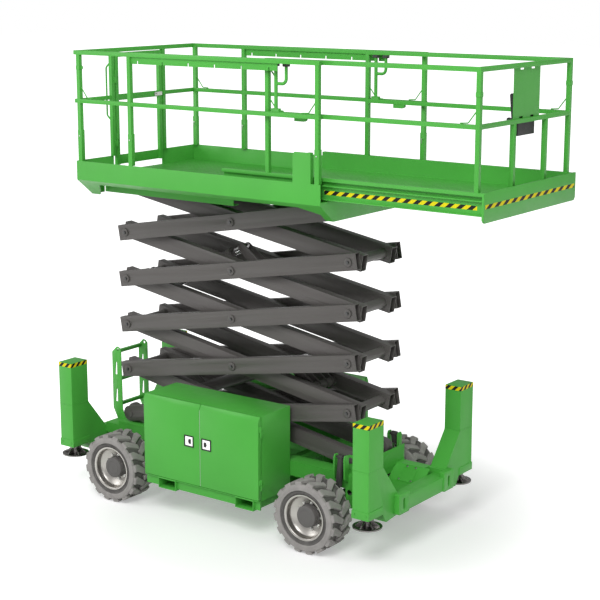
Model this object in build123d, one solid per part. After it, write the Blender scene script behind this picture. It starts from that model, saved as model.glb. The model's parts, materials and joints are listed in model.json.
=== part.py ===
"""Rough-terrain scissor lift: wheeled chassis with jack legs, five scissor stages and a platform
with a roll-out deck.

Millimetres. +X is forward (steered end, where the deck extends), +Y is left, +Z is up. The origin is
on the ground in the middle of the overall length. The lift stands on its wheels, a little raised.
"""

import math
import os

from build123d import *

# ------------------------------------------------------------------ driving sizes
MID_X = -479.0              # middle between the axles
WHEELBASE = 2290.0
FIT = 0.3                   # radial clearance of a pin in its bore
SEAT = 0.3                  # gap where a moving or separate piece rests on its seat

# wheels
TYRE_RADIUS = 330.0         # over the lugs
LUG_HEIGHT = 24.0
TYRE_WIDTH = 296.0
TYRE_FACE_Y = 873.0         # outer face of the tyres
TYRE_FLATS = 24             # flat sides round the carcass
LUGS_A_SIDE = 16
LUG_REACH = 10.5            # degrees: half the arc from a lug's shoulder corner to its tip
SIDEWALL_STEP_RADIUS = 250.0
LUG_END = 14.0              # the lugs stop this far inside the sidewalls
RIM_RADIUS = 198.0
RIM_LIP = 13.0
RIM_BORE_RADIUS = 188.0
HUB_RADIUS = 98.0
HUB_CAP_DEPTH = 46.0        # cap below the tyre's outer face
DISC_DEPTH = 68.0           # disc below the cap
HUB_TAIL = 40.0             # hub behind the disc
CAP_THICKNESS = 14.0
SPINDLE_RADIUS = 40.0

# axles and steering
AXLE_BEAM = 110.0
KINGPIN_Y = 520.0
KINGPIN_RADIUS = 20.0
KNUCKLE_RADIUS = 48.0
FORK_THICKNESS = 20.0
STEERING_ARM = 130.0
DRIVE_RADIUS = 75.0
TIE_ROD_RADIUS = 14.0

# chassis
RAIL_OUTER_Y = 400.0
RAIL_INNER_Y = 240.0
RAIL_BOTTOM_Z = 500.0
RAIL_TOP_Z = 640.0

# jack towers
TOWER_FRONT_X = 1827.0      # outer end face of the front towers, from the axle middle
TOWER_REAR_GAP = 450.07      # rear towers' end face behind the rear pin column
TOWER_LENGTH = 164.0
TOWER_OUTER_Y = 865.0
TOWER_INNER_Y = 642.0
TOWER_TOP_Z = 1291.0
TOWER_BOTTOM_Z = 450.0
TOWER_KINK_Z = 870.0
TOWER_FOOT_Y = 365.0        # inboard end of the flared foot
TOWER_FOOT_TOP_Z = 572.0
TOWER_FOOT_BOTTOM_Z = 385.0
TOWER_WALL = 8.0
PAD_BOTTOM_Z = 350.0
PAD_RADIUS = 130.0
PAD_HUB_HEIGHT = 88.0
JACK_ROD_RADIUS = 25.0
JACK_STROKE = 420.0

# cabinets
CABINET_REAR_X = -687.0     # from the axle middle
CABINET_FRONT_X = 660.0
CABINET_OUTER_Y = 875.0
CABINET_BOTTOM_Z = 375.0
CABINET_TOP_Z = 1160.0
CABINET_WALL = 6.0
FORK_POCKET_X = (-420.0, 495.0)
FORK_POCKET_HALF = 105.0
DOOR_THICKNESS = 45.0
DOOR_GAP = 6.0
DOOR_CHAMFER_HEIGHT = 45.0
DOOR_CHAMFER_DEPTH = 24.0
HINGE_RADIUS = 7.0

# scissor
STAGES = 5
ARM_LENGTH = 2640.0         # pin to pin
STAGE_RISE = 452.5          # height of one stage as it stands
FRONT_PIN_X = 1257.0        # from the axle middle
BASE_PIN_Z = 729.0
ARM_HEIGHT = 150.0
ARM_WALL = 7.0
ARM_OVERHANG = 85.0
TAPER_LENGTH = 195.0        # narrowing front end of the topmost outer arm
TAPER_RADIUS = 34.0
OUTER_ARM_Y = (285.0, 360.0)
INNER_ARM_Y = (190.0, 275.0)
ARM_PIN_RADIUS = 28.0
PIN_CAP_RADIUS = 38.0
PIN_CAP = 9.0
CROSS_TUBE_RADIUS = 45.0
SLIDE_ROLLER_Y = (412.0, 457.0)   # rollers of the topmost inner arm, in the deck's channels

# platform
DECK_REAR_GAP = 141.07      # deck's rear edge ahead of the raised sliding pins' column
DECK_FRONT_OVERHANG = 48.0  # deck's front edge ahead of the front pins' column
DECK_HALF_WIDTH = 847.0
FLOOR_TOP_Z = 3120.0
FLOOR_THICKNESS = 8.0
TOE_TOP_Z = 3271.0
SKIRT_FOLD_Z = 3094.0
SKIRT_BOTTOM_Z = 2937.0
SKIRT_WALL = 8.0
RAIL_TUBE = 38.0
TOP_RAIL_Z = 4288.0
MID_RAIL_DROP = 443.0       # mid rail below the top rail
SOCKET_TUBE = 46.0
CONTROL_Y = 47.5            # middle of the control console on the front rail
CONTROL_WIDTH = 285.0
SOCKET_TOP_Z = 3560.0

# roll-out deck
EXTENSION_REAR_X = 200.0
EXTENSION_FRONT_X = 2820.0
EXTENSION_TOE_TOP_Z = 3321.0
EXTENSION_BEAM_Z = (3135.0, 3260.0)
FRONT_PLATE_BOTTOM_Z = 3084.0

# ------------------------------------------------------------------ worked-out sizes
FRONT_AXLE_X = MID_X + WHEELBASE / 2
REAR_AXLE_X = MID_X - WHEELBASE / 2
WHEEL_Y = TYRE_FACE_Y - TYRE_WIDTH / 2
ARM_RUN = math.sqrt(ARM_LENGTH**2 - STAGE_RISE**2)
ARM_ANGLE = math.degrees(math.asin(STAGE_RISE / ARM_LENGTH))
FRONT_COLUMN_X = MID_X + FRONT_PIN_X
REAR_COLUMN_X = FRONT_COLUMN_X - ARM_RUN
TOP_PIN_Z = BASE_PIN_Z + STAGES * STAGE_RISE
TOWER_REAR_X = REAR_COLUMN_X - MID_X - TOWER_REAR_GAP
DECK_REAR_X = REAR_COLUMN_X - MID_X - DECK_REAR_GAP
DECK_FRONT_X = FRONT_PIN_X + DECK_FRONT_OVERHANG
MID_RAIL_Z = TOP_RAIL_Z - MID_RAIL_DROP
SKIRT_INNER_Y = DECK_HALF_WIDTH - 197
EXTENSION_HALF_WIDTH = DECK_HALF_WIDTH - 67
EXTENSION_WEB_Y = EXTENSION_HALF_WIDTH - 35


# ------------------------------------------------------------------ helpers
def block(x0, x1, y0, y1, z0, z1):
    """Box between two corners."""
    return Pos((x0 + x1) / 2, (y0 + y1) / 2, (z0 + z1) / 2) * Box(x1 - x0, y1 - y0, z1 - z0)


def rod_x(x0, x1, y, z, radius):
    """Round bar along X."""
    return Pos((x0 + x1) / 2, y, z) * Rot(0, 90, 0) * Cylinder(radius, x1 - x0)


def rod_y(x, y0, y1, z, radius):
    """Round bar along Y."""
    return Pos(x, (y0 + y1) / 2, z) * Rot(90, 0, 0) * Cylinder(radius, y1 - y0)


def rod_z(x, y, z0, z1, radius):
    """Round bar along Z."""
    return Pos(x, y, (z0 + z1) / 2) * Cylinder(radius, z1 - z0)


def plate_xz(outline, y0, y1):
    """Flat piece of an (x, z) outline, from y0 to y1."""
    face = make_face(Polyline(*[(x, y0, z) for x, z in outline], close=True))
    return extrude(face, amount=y1 - y0, dir=(0, 1, 0))


def plate_yz(outline, x0, x1):
    """Flat piece of a (y, z) outline, from x0 to x1."""
    face = make_face(Polyline(*[(x0, y, z) for y, z in outline], close=True))
    return extrude(face, amount=x1 - x0, dir=(1, 0, 0))


def plate_xy(outline, z0, z1):
    """Flat piece of an (x, y) outline, from z0 to z1."""
    face = make_face(Polyline(*[(x, y, z0) for x, y in outline], close=True))
    return extrude(face, amount=z1 - z0, dir=(0, 0, 1))


def other_side(shape):
    """The same piece on the other side of the middle plane."""
    return mirror(shape, about=Plane.XZ)


def both_sides(shape):
    """A piece and its mirror image about the middle plane."""
    return shape + other_side(shape)


def strap_xz(p, q, radius_p, radius_q, y0, y1):
    """Plate with two round ends, about the points p and q of the XZ plane."""
    run, rise = q[0] - p[0], q[1] - p[1]
    length = math.hypot(run, rise)
    heading = math.atan2(rise, run)
    spread = math.acos((radius_p - radius_q) / length)
    corners = []
    for centre, radius, side in ((p, radius_p, 1), (q, radius_q, 1), (q, radius_q, -1), (p, radius_p, -1)):
        angle = heading + side * spread
        corners.append((centre[0] + radius * math.cos(angle), centre[1] + radius * math.sin(angle)))
    body = plate_xz(corners, y0, y1)
    return body + rod_y(p[0], y0, y1, p[1], radius_p) + rod_y(q[0], y0, y1, q[1], radius_q)


def save(name, *shapes):
    """Write one node: its solids in one STEP file."""
    solids = [solid for shape in shapes for solid in shape.solids()]
    export_step(Compound(children=solids) if len(solids) > 1 else solids[0], f"parts/{name}.step")


# ------------------------------------------------------------------ wheels
def flat_sided(radius, y0, y1):
    """Prism about the Y axis; its flats touch a circle of the given radius."""
    corner = radius / math.cos(math.pi / TYRE_FLATS)
    face = Plane((0, y0, 0), x_dir=(1, 0, 0), z_dir=(0, 1, 0)) * RegularPolygon(corner, TYRE_FLATS)
    return extrude(face, amount=y1 - y0, dir=(0, 1, 0))


def tyre_at_origin():
    """Tyre about the Y axis, outer face to -Y, with two staggered rows of hooked, leaning lugs."""
    half = TYRE_WIDTH / 2
    crown = TYRE_RADIUS - LUG_HEIGHT
    bead = RIM_RADIUS + FIT
    tyre = flat_sided(crown, -half, half) - flat_sided(bead, -half - 1, half + 1)
    for y0, y1 in ((-half - 1, -half + 31), (half - 31, half + 1)):
        tyre -= flat_sided(bead + RIM_LIP + 2, y0, y1)
    tyre -= flat_sided(SIDEWALL_STEP_RADIUS, -half - 1, -half + 12)
    # flat-topped lugs; the circle through their corners lets the tyre stand at its named radius
    angle = math.radians(LUG_REACH)
    corner = TYRE_RADIUS / math.cos(angle - math.radians(90 / LUGS_A_SIDE))
    reach, top, end = corner * math.sin(angle), corner * math.cos(angle), half - LUG_END
    outline = [(-reach, end), (0.1 * reach, end), (0.1 * reach, end - 34), (reach, 2), (0.3 * reach, -18),
               (-reach, end - 44)]
    lugs = []
    for side in (-1, 1):
        lug = plate_xy([(x, side * y) for x, y in outline], crown - 14, top)
        for number in range(LUGS_A_SIDE):
            lugs.append(Rot(0, 360 / LUGS_A_SIDE * (number + 0.25 * side), 0) * lug)
    return tyre + lugs


def rim_at_origin():
    """Wheel about the Y axis, outer face to -Y: barrel with lips, dished disc, hub with a blind bore."""
    half = TYRE_WIDTH / 2
    cap_y = -half + HUB_CAP_DEPTH
    disc_y = cap_y + DISC_DEPTH
    section = [
        (0, cap_y), (HUB_RADIUS - 6, cap_y), (HUB_RADIUS, cap_y + 6), (HUB_RADIUS, disc_y),
        (RIM_BORE_RADIUS, disc_y - 40), (RIM_BORE_RADIUS + 4, -half + 16),
        (RIM_RADIUS + RIM_LIP, -half + 12), (RIM_RADIUS + RIM_LIP, -half + 31 - SEAT), (RIM_RADIUS, -half + 31 - SEAT),
        (RIM_RADIUS, half - 31 + SEAT), (RIM_RADIUS + RIM_LIP, half - 31 + SEAT), (RIM_RADIUS + RIM_LIP, half - 12),
        (RIM_BORE_RADIUS + 4, half - 16), (RIM_BORE_RADIUS, disc_y - 24),
        (HUB_RADIUS, disc_y + 14), (HUB_RADIUS, disc_y + HUB_TAIL), (SPINDLE_RADIUS + FIT, disc_y + HUB_TAIL),
        (SPINDLE_RADIUS + FIT, cap_y + CAP_THICKNESS), (0, cap_y + CAP_THICKNESS),
    ]
    return revolve(make_face(Polyline(*[(r, y, 0) for r, y in section], close=True)), axis=Axis.Y)


def make_wheels():
    """Four tyres and rims; the lugs point the same way on both sides of the machine."""
    spindle_end = TYRE_FACE_Y - HUB_CAP_DEPTH - CAP_THICKNESS - 6
    tyres = {-1: tyre_at_origin(), 1: other_side(tyre_at_origin())}
    rims = {-1: rim_at_origin(), 1: other_side(rim_at_origin())}
    for end, axle_x in (("front", FRONT_AXLE_X), ("rear", REAR_AXLE_X)):
        for side_name, side in (("right", -1), ("left", 1)):
            place = Pos(axle_x, side * WHEEL_Y, TYRE_RADIUS)
            save(f"tyre_{end}_{side_name}", place * tyres[side])
            save(f"rim_{end}_{side_name}", place * rims[side])
    return spindle_end


# ------------------------------------------------------------------ axles and steering
def make_axles(spindle_end):
    """Rigid rear axle, pivoting front axle with forks, knuckles, tie rod and lock cylinders."""
    half = AXLE_BEAM / 2
    z = TYRE_RADIUS
    drive_end = TYRE_FACE_Y - HUB_CAP_DEPTH - DISC_DEPTH - HUB_TAIL - 8
    # rear axle with its two drive housings and spindles
    x = REAR_AXLE_X
    rear_side = block(x - half, x + half, 0, KINGPIN_Y + 40, z - half, z + half)
    rear_side += rod_y(x, KINGPIN_Y + 20, drive_end, z, DRIVE_RADIUS)
    rear_side += rod_y(x, drive_end - 1, spindle_end, z, SPINDLE_RADIUS)
    for post_x in (x - half, x + half - 12):
        rear_side += block(post_x, post_x + 12, RAIL_INNER_Y + 10, RAIL_OUTER_Y - 10, z + half - 1, RAIL_BOTTOM_Z)
    save("rear_axle", both_sides(rear_side))
    # front axle: beam, forks, trunnion pin, feet of the lock cylinders
    x = FRONT_AXLE_X
    fork_end = KINGPIN_Y + KNUCKLE_RADIUS - 4
    beam = block(x - half, x + half, 0, KINGPIN_Y - KNUCKLE_RADIUS - 20, z - half, z + half)
    for low in (z + half - FORK_THICKNESS / 2, z - half - FORK_THICKNESS / 2):
        beam += block(x - 42, x + 42, KINGPIN_Y - KNUCKLE_RADIUS - 32, fork_end, low, low + FORK_THICKNESS)
    beam -= rod_z(x, KINGPIN_Y, z - 2 * half, z + 2 * half, KINGPIN_RADIUS + FIT)
    beam += plate_xy([(x + half - 5, RAIL_OUTER_Y), (x + half - 5, LOCK_Y + 4), (x + half + 7, LOCK_Y + 16),
                      (x + half + 7, LOCK_FOOT_Y + 13), (x + LOCK_X + 18, LOCK_FOOT_Y + 13),
                      (x + LOCK_X + 18, RAIL_OUTER_Y)], z - 25, z + 10)
    front = both_sides(beam) + rod_x(x - half - 30, x + half + 30, 0, z, TRUNNION_RADIUS)
    save("front_axle", front)
    # knuckles
    fork_gap = half - FORK_THICKNESS / 2
    knuckle = rod_z(x, KINGPIN_Y, z - fork_gap + SEAT, z + fork_gap - SEAT, KNUCKLE_RADIUS)
    knuckle += rod_z(x, KINGPIN_Y, z - fork_gap - FORK_THICKNESS, z + fork_gap + FORK_THICKNESS, KINGPIN_RADIUS)
    knuckle += rod_y(x, KINGPIN_Y + 30, drive_end, z, fork_gap - 2)
    knuckle += rod_y(x, KINGPIN_Y + 72, drive_end, z, DRIVE_RADIUS)
    knuckle += rod_y(x, drive_end - 1, spindle_end, z, SPINDLE_RADIUS)
    arm_top = z - 20
    arm = block(x - STEERING_ARM, x, KINGPIN_Y - 20, KINGPIN_Y + 20, arm_top - 20, arm_top)
    arm += rod_z(x - STEERING_ARM, KINGPIN_Y, arm_top - 20, arm_top, 24)
    knuckle += arm
    knuckle -= rod_z(x - STEERING_ARM, KINGPIN_Y, arm_top - 40, arm_top + 40, BALL_PIN_RADIUS + FIT)
    save("knuckle_left", knuckle)
    save("knuckle_right", other_side(knuckle))
    # tie rod above the steering arms
    ball_x = x - STEERING_ARM
    bar_z = arm_top + SEAT + 22
    end = rod_z(ball_x, KINGPIN_Y, arm_top + SEAT, arm_top + SEAT + 44, 24)
    end += rod_z(ball_x, KINGPIN_Y, arm_top - 20, arm_top + 10, BALL_PIN_RADIUS)
    save("tie_rod", both_sides(end) + rod_y(ball_x, -KINGPIN_Y, KINGPIN_Y, bar_z, TIE_ROD_RADIUS))
    # lock cylinders of the pivoting axle, one above each side of the front beam
    lock_x = x + LOCK_X
    lock = rod_x(lock_x - EAR_GAP / 2, lock_x + EAR_GAP / 2, LOCK_Y, LOCK_TOP_Z, 12)
    lock += rod_x(lock_x - 24, lock_x + 24, LOCK_Y, LOCK_TOP_Z, 26)
    foot_z = z + 10 + SEAT + 18
    length = math.hypot(LOCK_FOOT_Y - LOCK_Y, LOCK_TOP_Z - foot_z)
    lean = math.degrees(math.atan2(LOCK_FOOT_Y - LOCK_Y, LOCK_TOP_Z - foot_z))
    body = rod_z(0, 0, -260, -10, 30) + rod_z(0, 0, -length, -250, 15)
    lock += Pos(lock_x, LOCK_Y, LOCK_TOP_Z) * Rot(lean, 0, 0) * body
    lock += rod_x(lock_x - 20, lock_x + 20, LOCK_FOOT_Y, foot_z, 18)
    save("axle_lock_cylinders", both_sides(lock))


LOCK_X = 103.0              # lock cylinders ahead of the front axle
LOCK_Y = 436.0              # upper pins
LOCK_FOOT_Y = 492.0
LOCK_TOP_Z = 795.0
EAR_GAP = 96.0
EAR_THICKNESS = 12.0
TRUNNION_RADIUS = 25.0
BALL_PIN_RADIUS = 12.0


# ------------------------------------------------------------------ chassis
def make_chassis():
    """Two box rails, cross members, scissor pivot plates, trunnion lugs and lock-cylinder ears."""
    rear_x = MID_X + TOWER_REAR_X + TOWER_LENGTH
    front_x = MID_X + TOWER_FRONT_X - TOWER_LENGTH
    wall = 8.0
    bulkhead_x = FRONT_AXLE_X + 215
    step_x = REAR_AXLE_X - 313
    frame = None
    for x0, x1, y_in, top in ((step_x, bulkhead_x, RAIL_INNER_Y, RAIL_TOP_Z), (rear_x, step_x + 1, RAIL_INNER_Y, RAIL_TOP_Z - 40),
                              (bulkhead_x - 1, front_x, RAIL_INNER_Y + 60, RAIL_TOP_Z - 62)):
        rail = block(x0, x1, y_in, RAIL_OUTER_Y, RAIL_BOTTOM_Z, top)
        rail -= block(x0 + wall, x1 - wall, y_in + wall, RAIL_OUTER_Y - wall, RAIL_BOTTOM_Z + wall, top - wall)
        frame = both_sides(rail) if frame is None else frame + both_sides(rail)
    for member_x, length in ((rear_x, 110), (REAR_AXLE_X + 160, 80), (MID_X - 470, 80), (MID_X, 80),
                             (MID_X + 470, 80), (FRONT_AXLE_X - 90, 180), (bulkhead_x - 60, 60)):
        frame += block(member_x, member_x + length, -RAIL_INNER_Y, RAIL_INNER_Y, RAIL_BOTTOM_Z, 580)
    # pivot plates of the lowest inner arms
    pivot_y = INNER_ARM_Y[1] + 6
    pivot = plate_xz([(FRONT_COLUMN_X - 90, RAIL_TOP_Z - 1), (FRONT_COLUMN_X + 90, RAIL_TOP_Z - 1),
                      (FRONT_COLUMN_X + 40, BASE_PIN_Z + 30), (FRONT_COLUMN_X + 22, BASE_PIN_Z + 48),
                      (FRONT_COLUMN_X - 22, BASE_PIN_Z + 48), (FRONT_COLUMN_X - 40, BASE_PIN_Z + 30)],
                     pivot_y, pivot_y + 18)
    pivot -= rod_y(FRONT_COLUMN_X, pivot_y - 1, pivot_y + 30, BASE_PIN_Z, ARM_PIN_RADIUS + FIT)
    frame += both_sides(pivot)
    # lugs that carry the front axle's trunnion pin
    for lug_x in (FRONT_AXLE_X - AXLE_BEAM / 2 - 24, FRONT_AXLE_X + AXLE_BEAM / 2 + 6):
        lug = plate_yz([(-70, RAIL_BOTTOM_Z + 1), (-50, TYRE_RADIUS - 30), (-25, TYRE_RADIUS - 48),
                        (25, TYRE_RADIUS - 48), (50, TYRE_RADIUS - 30), (70, RAIL_BOTTOM_Z + 1)],
                       lug_x, lug_x + 18)
        frame += lug - rod_x(lug_x - 1, lug_x + 20, 0, TYRE_RADIUS, TRUNNION_RADIUS + FIT)
    # ears of the lock cylinders
    for ear_x in (FRONT_AXLE_X + LOCK_X - EAR_GAP / 2 - EAR_THICKNESS - SEAT, FRONT_AXLE_X + LOCK_X + EAR_GAP / 2 + SEAT):
        ear = plate_yz([(RAIL_OUTER_Y - 1, 560), (RAIL_OUTER_Y + 66, 600), (LOCK_Y + 34, LOCK_TOP_Z),
                        (LOCK_Y + 20, LOCK_TOP_Z + 24), (LOCK_Y - 20, LOCK_TOP_Z + 24),
                        (LOCK_Y - 34, LOCK_TOP_Z), (LOCK_Y - 34, RAIL_TOP_Z), (RAIL_OUTER_Y - 1, RAIL_TOP_Z)],
                       ear_x, ear_x + EAR_THICKNESS)
        frame += both_sides(ear)
    # bulkhead, side plates and the trough in front of the scissor
    frame += block(bulkhead_x, bulkhead_x + 6, -RAIL_OUTER_Y - 25, RAIL_OUTER_Y + 25, 560, 725)
    cheek = plate_xz([(bulkhead_x - 85, 630), (bulkhead_x, 630), (bulkhead_x + 20, 578), (front_x - SEAT, 578),
                      (front_x - SEAT, 410), (bulkhead_x - 85, 310)], RAIL_OUTER_Y - 1, RAIL_OUTER_Y + 5)
    cheek -= rod_y(bulkhead_x - 43, RAIL_OUTER_Y - 2, RAIL_OUTER_Y + 8, 470, 26)
    frame += both_sides(cheek)
    trough_end = MID_X + TOWER_FRONT_X - 110 - SEAT
    frame += plate_yz([(310, 575), (158, 445), (-158, 445), (-310, 575), (-298, 575), (-154, 453), (154, 453),
                       (298, 575)], bulkhead_x, trough_end)
    slope = 122 / 144
    corners = [(bulkhead_x + 120, 293), (bulkhead_x + 240, 293), (bulkhead_x + 258, 162), (bulkhead_x + 91, 162)]
    cover = make_face(Polyline(*[(x, y, 574 - (298 - y) * slope) for x, y in corners], close=True))
    frame += both_sides(extrude(cover, amount=7, dir=(0, -0.646, 0.763)))
    save("chassis_frame", frame)


# ------------------------------------------------------------------ jack towers
def make_towers():
    """Four hollow towers with flared feet, the end beams between them and the four jack legs."""
    y_in, y_out = TOWER_INNER_Y, TOWER_OUTER_Y
    outline = [
        (y_out, TOWER_TOP_Z), (y_in, TOWER_TOP_Z), (y_in, TOWER_KINK_Z), (TOWER_FOOT_Y + 40, TOWER_FOOT_TOP_Z),
        (TOWER_FOOT_Y, TOWER_FOOT_TOP_Z), (TOWER_FOOT_Y, TOWER_FOOT_BOTTOM_Z),
        (y_in - 60, TOWER_FOOT_BOTTOM_Z - 25), (y_in, TOWER_BOTTOM_Z), (y_out, TOWER_BOTTOM_Z),
    ]
    jack_y = (y_in + y_out) / 2
    towers = []
    for end_x, sign in ((TOWER_FRONT_X, 1), (TOWER_REAR_X, -1)):
        x0 = MID_X + min(end_x, end_x - sign * TOWER_LENGTH)
        x1 = x0 + TOWER_LENGTH
        jack_x = (x0 + x1) / 2
        tower = plate_yz(outline, x0, x1)
        tower -= block(x0 + TOWER_WALL, x1 - TOWER_WALL, y_in + TOWER_WALL, y_out - TOWER_WALL,
                       TOWER_BOTTOM_Z + 20, TOWER_TOP_Z - TOWER_WALL)
        tower -= rod_z(jack_x, jack_y, TOWER_BOTTOM_Z - 10, TOWER_BOTTOM_Z + 30, JACK_ROD_RADIUS + FIT)
        collar = block(x0 - 6, x1 + 6, y_in, y_out + 6, TOWER_BOTTOM_Z - 1, TOWER_BOTTOM_Z + 70)
        tower += collar - block(x0 + 1, x1 - 1, y_in - 1, y_out - 1, TOWER_BOTTOM_Z - 2, TOWER_BOTTOM_Z + 71)
        towers += [tower, other_side(tower)]
        name = "front" if sign > 0 else "rear"
        leg = make_jack_leg(jack_x, jack_y)
        save(f"jack_leg_{name}_left", leg)
        save(f"jack_leg_{name}_right", other_side(leg))
    save("jack_towers", *towers)
    # end beams with slotted lugs on the front faces
    beams = []
    for end_x, sign in ((TOWER_FRONT_X, 1), (TOWER_REAR_X, -1)):
        face = MID_X + end_x
        inner = face - sign * 110
        beam = block(min(face, inner), max(face, inner), -TOWER_FOOT_Y, TOWER_FOOT_Y, 400, 530)
        if sign > 0:
            lug = plate_yz([(290, 400), (300, 392), (450, 392), (460, 402), (460, 565), (450, 575), (300, 575),
                            (290, 565)], face, face + 50)
            slot = block(face - 1, face + 60, 360, 390, 445, 515)
            slot += rod_x(face - 1, face + 60, 375, 445, 15) + rod_x(face - 1, face + 60, 375, 515, 15)
            beam += both_sides(lug - slot)
            beam += block(face - 1, face + 40, -290, 290, 400, 530)
        beams.append(beam)
    save("end_beams", *beams)


def make_jack_leg(x, y):
    """Jack rod with its piston, and a ribbed round foot."""
    disc_top = PAD_BOTTOM_Z + 12
    hub_top = PAD_BOTTOM_Z + PAD_HUB_HEIGHT
    leg = rod_z(x, y, disc_top, 1000, JACK_ROD_RADIUS)
    leg += rod_z(x, y, 1000, 1040, 60)
    leg += rod_z(x, y, PAD_BOTTOM_Z, disc_top, PAD_RADIUS)
    leg += rod_z(x, y, disc_top - 1, hub_top, 38)
    leg += rod_z(x, y, hub_top - 20, hub_top, 56)
    for number in range(6):
        rib = plate_xz([(30, disc_top - 1), (PAD_RADIUS - 22, disc_top - 1), (PAD_RADIUS - 30, disc_top + 10),
                        (44, hub_top - 24), (30, hub_top - 24)], -6, 6)
        leg += Pos(x, y, 0) * Rot(0, 0, 60 * number + 30) * rib
    return leg


# ------------------------------------------------------------------ ladder and fork pockets
def make_ladder():
    """Entry ladder at the rear: two pierced side plates and three rungs."""
    x0 = MID_X + TOWER_REAR_X + 82
    x1 = MID_X + TOWER_REAR_X + 201
    outline = [(x0, 1270), (x0, 690), (x0 + 58, 580), (x1 + 58, 580), (x1 + 6, 690), (x1, 1300),
               (x1 - 28, 1326), (x1 - 56, 1330)]
    stile = plate_xz(outline, 192, 200)
    stile -= rod_y(x1 - 40, 190, 202, 1300, 13)
    for low in (1040, 760):
        stile -= plate_xz([(x0 + 35, low), (x0 + 62, low), (x0 + 62, low + 130), (x0 + 48, low + 130)], 190, 202)
    ladder = both_sides(stile)
    for z in (1248, 960, 700):
        ladder += block(x0 + 4, x0 + 39, -193, 193, z, z + 30)
    save("ladder", ladder)


def make_fork_pockets():
    """Two rectangular tubes across the machine for the forks of a truck."""
    pockets = []
    for centre in FORK_POCKET_X:
        x = MID_X + centre
        top = CABINET_BOTTOM_Z
        tube = block(x - FORK_POCKET_HALF, x + FORK_POCKET_HALF, -CABINET_OUTER_Y, CABINET_OUTER_Y, top - 100, top)
        tube -= block(x - FORK_POCKET_HALF + 8, x + FORK_POCKET_HALF - 8, -CABINET_OUTER_Y - 1, CABINET_OUTER_Y + 1,
                      top - 92, top - 8)
        for side in (-1, 1):
            y0, y1 = sorted((side * (RAIL_INNER_Y + 30), side * (RAIL_OUTER_Y - 10)))
            tube += block(x - 60, x + 60, y0, y1, top - 1, RAIL_BOTTOM_Z)
        pockets.append(tube)
    save("fork_pockets", *pockets)


# ------------------------------------------------------------------ cabinets
def make_cabinets():
    """Two hollow side cabinets, each with two doors hinged at its outer ends."""
    x0 = MID_X + CABINET_REAR_X
    x1 = MID_X + CABINET_FRONT_X
    y_in = RAIL_OUTER_Y + 2
    y_door = CABINET_OUTER_Y - DOOR_THICKNESS
    y_wall = y_door - DOOR_GAP
    z0, z1, wall = CABINET_BOTTOM_Z, CABINET_TOP_Z, CABINET_WALL
    shell = block(x0, x1, y_in, y_wall, z0, z1)
    shell -= block(x0 + wall, x1 - wall, y_in + wall, y_wall + 1, z0 + wall, z1 - wall)
    middle = (x0 + x1) / 2
    shell += block(middle - 15, middle + 15, y_wall - 40, y_wall, z0 + 1, z1 - 1)
    shell += block(x0, x1, y_wall - 1, CABINET_OUTER_Y - 3, z0, z0 + wall)
    shell += block(x0 + 150, x0 + 250, RAIL_OUTER_Y, y_in + 1, RAIL_BOTTOM_Z + 10, RAIL_TOP_Z - 10)
    shell += block(x1 - 250, x1 - 150, RAIL_OUTER_Y, y_in + 1, RAIL_BOTTOM_Z + 10, RAIL_TOP_Z - 10)
    # sills between the fork pockets
    edges = [x0] + [MID_X + centre + end * (FORK_POCKET_HALF + SEAT) for centre in FORK_POCKET_X for end in (-1, 1)] + [x1]
    for start, stop in zip(edges[::2], edges[1::2]):
        shell += block(start, stop, CABINET_OUTER_Y - 40, CABINET_OUTER_Y - 25, z0 - 85, z0 + 1)
    hinge_y = y_door + 15
    door_bottom, door_top = z0 + wall + DOOR_GAP, z1 - 2
    knuckles = [(door_bottom + 90, door_bottom + 190), (door_top - 190, door_top - 90)]
    outline = [
        (y_door, door_bottom), (CABINET_OUTER_Y, door_bottom), (CABINET_OUTER_Y, door_top - DOOR_CHAMFER_HEIGHT),
        (CABINET_OUTER_Y - DOOR_CHAMFER_DEPTH, door_top), (y_door, door_top),
    ]
    doors = {}
    for name, hinge_x, edge, reach in (("rear", x0 - HINGE_RADIUS - 1, x0, middle - 3), ("front", x1 + HINGE_RADIUS + 1, x1, middle + 3)):
        door = plate_yz(outline, min(edge, reach), max(edge, reach))
        for low, high in knuckles:
            centre = (low + high) / 2
            shell += rod_z(hinge_x, hinge_y, low, centre - 1, HINGE_RADIUS)
            leaf = sorted((edge, hinge_x))
            shell += block(leaf[0], leaf[1], y_wall - 25, hinge_y - 2, low, centre - 1)
            shell += rod_z(hinge_x, hinge_y, centre - 2, high, HINGE_RADIUS / 2)
            door += rod_z(hinge_x, hinge_y, centre + 1, high, HINGE_RADIUS)
            door += block(leaf[0], leaf[1], hinge_y + 2, hinge_y + 20, centre + 1, high)
            door -= rod_z(hinge_x, hinge_y, centre - 3, high + 1, HINGE_RADIUS / 2 + FIT)
        doors[name] = door
    save("cabinet_left", shell)
    save("cabinet_right", other_side(shell))
    for name, door in doors.items():
        save(f"door_{name}_left", door)
        save(f"door_{name}_right", other_side(door))
    floor = z0 + wall
    battery = block(x0 + 60, x1 - 60, y_in + 30, y_wall - 50, floor, floor + 420)
    save("battery_pack", battery)
    unit = block(x0 + 70, x0 + 560, -(y_wall - 40), -(y_in + 40), floor, floor + 460)
    unit += rod_x(x0 + 640, x0 + 900, -(y_in + y_wall) / 2, floor + 120, 100)
    unit += block(x0 + 560 - 1, x0 + 660, -(y_wall - 100), -(y_in + 100), floor, floor + 180)
    save("hydraulic_unit", unit)


# ------------------------------------------------------------------ scissor arms
def arm_point(kind, stage, along, above):
    """A point (x, z) of an arm: 'inner' starts at the front and 'outer' at the rear, both at the bottom."""
    c, s = ARM_RUN / ARM_LENGTH, STAGE_RISE / ARM_LENGTH
    low = BASE_PIN_Z + (stage - 1) * STAGE_RISE
    if kind == "inner":
        return FRONT_COLUMN_X - along * c + above * s, low + along * s + above * c
    return REAR_COLUMN_X + along * c - above * s, low + along * s + above * c


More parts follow.
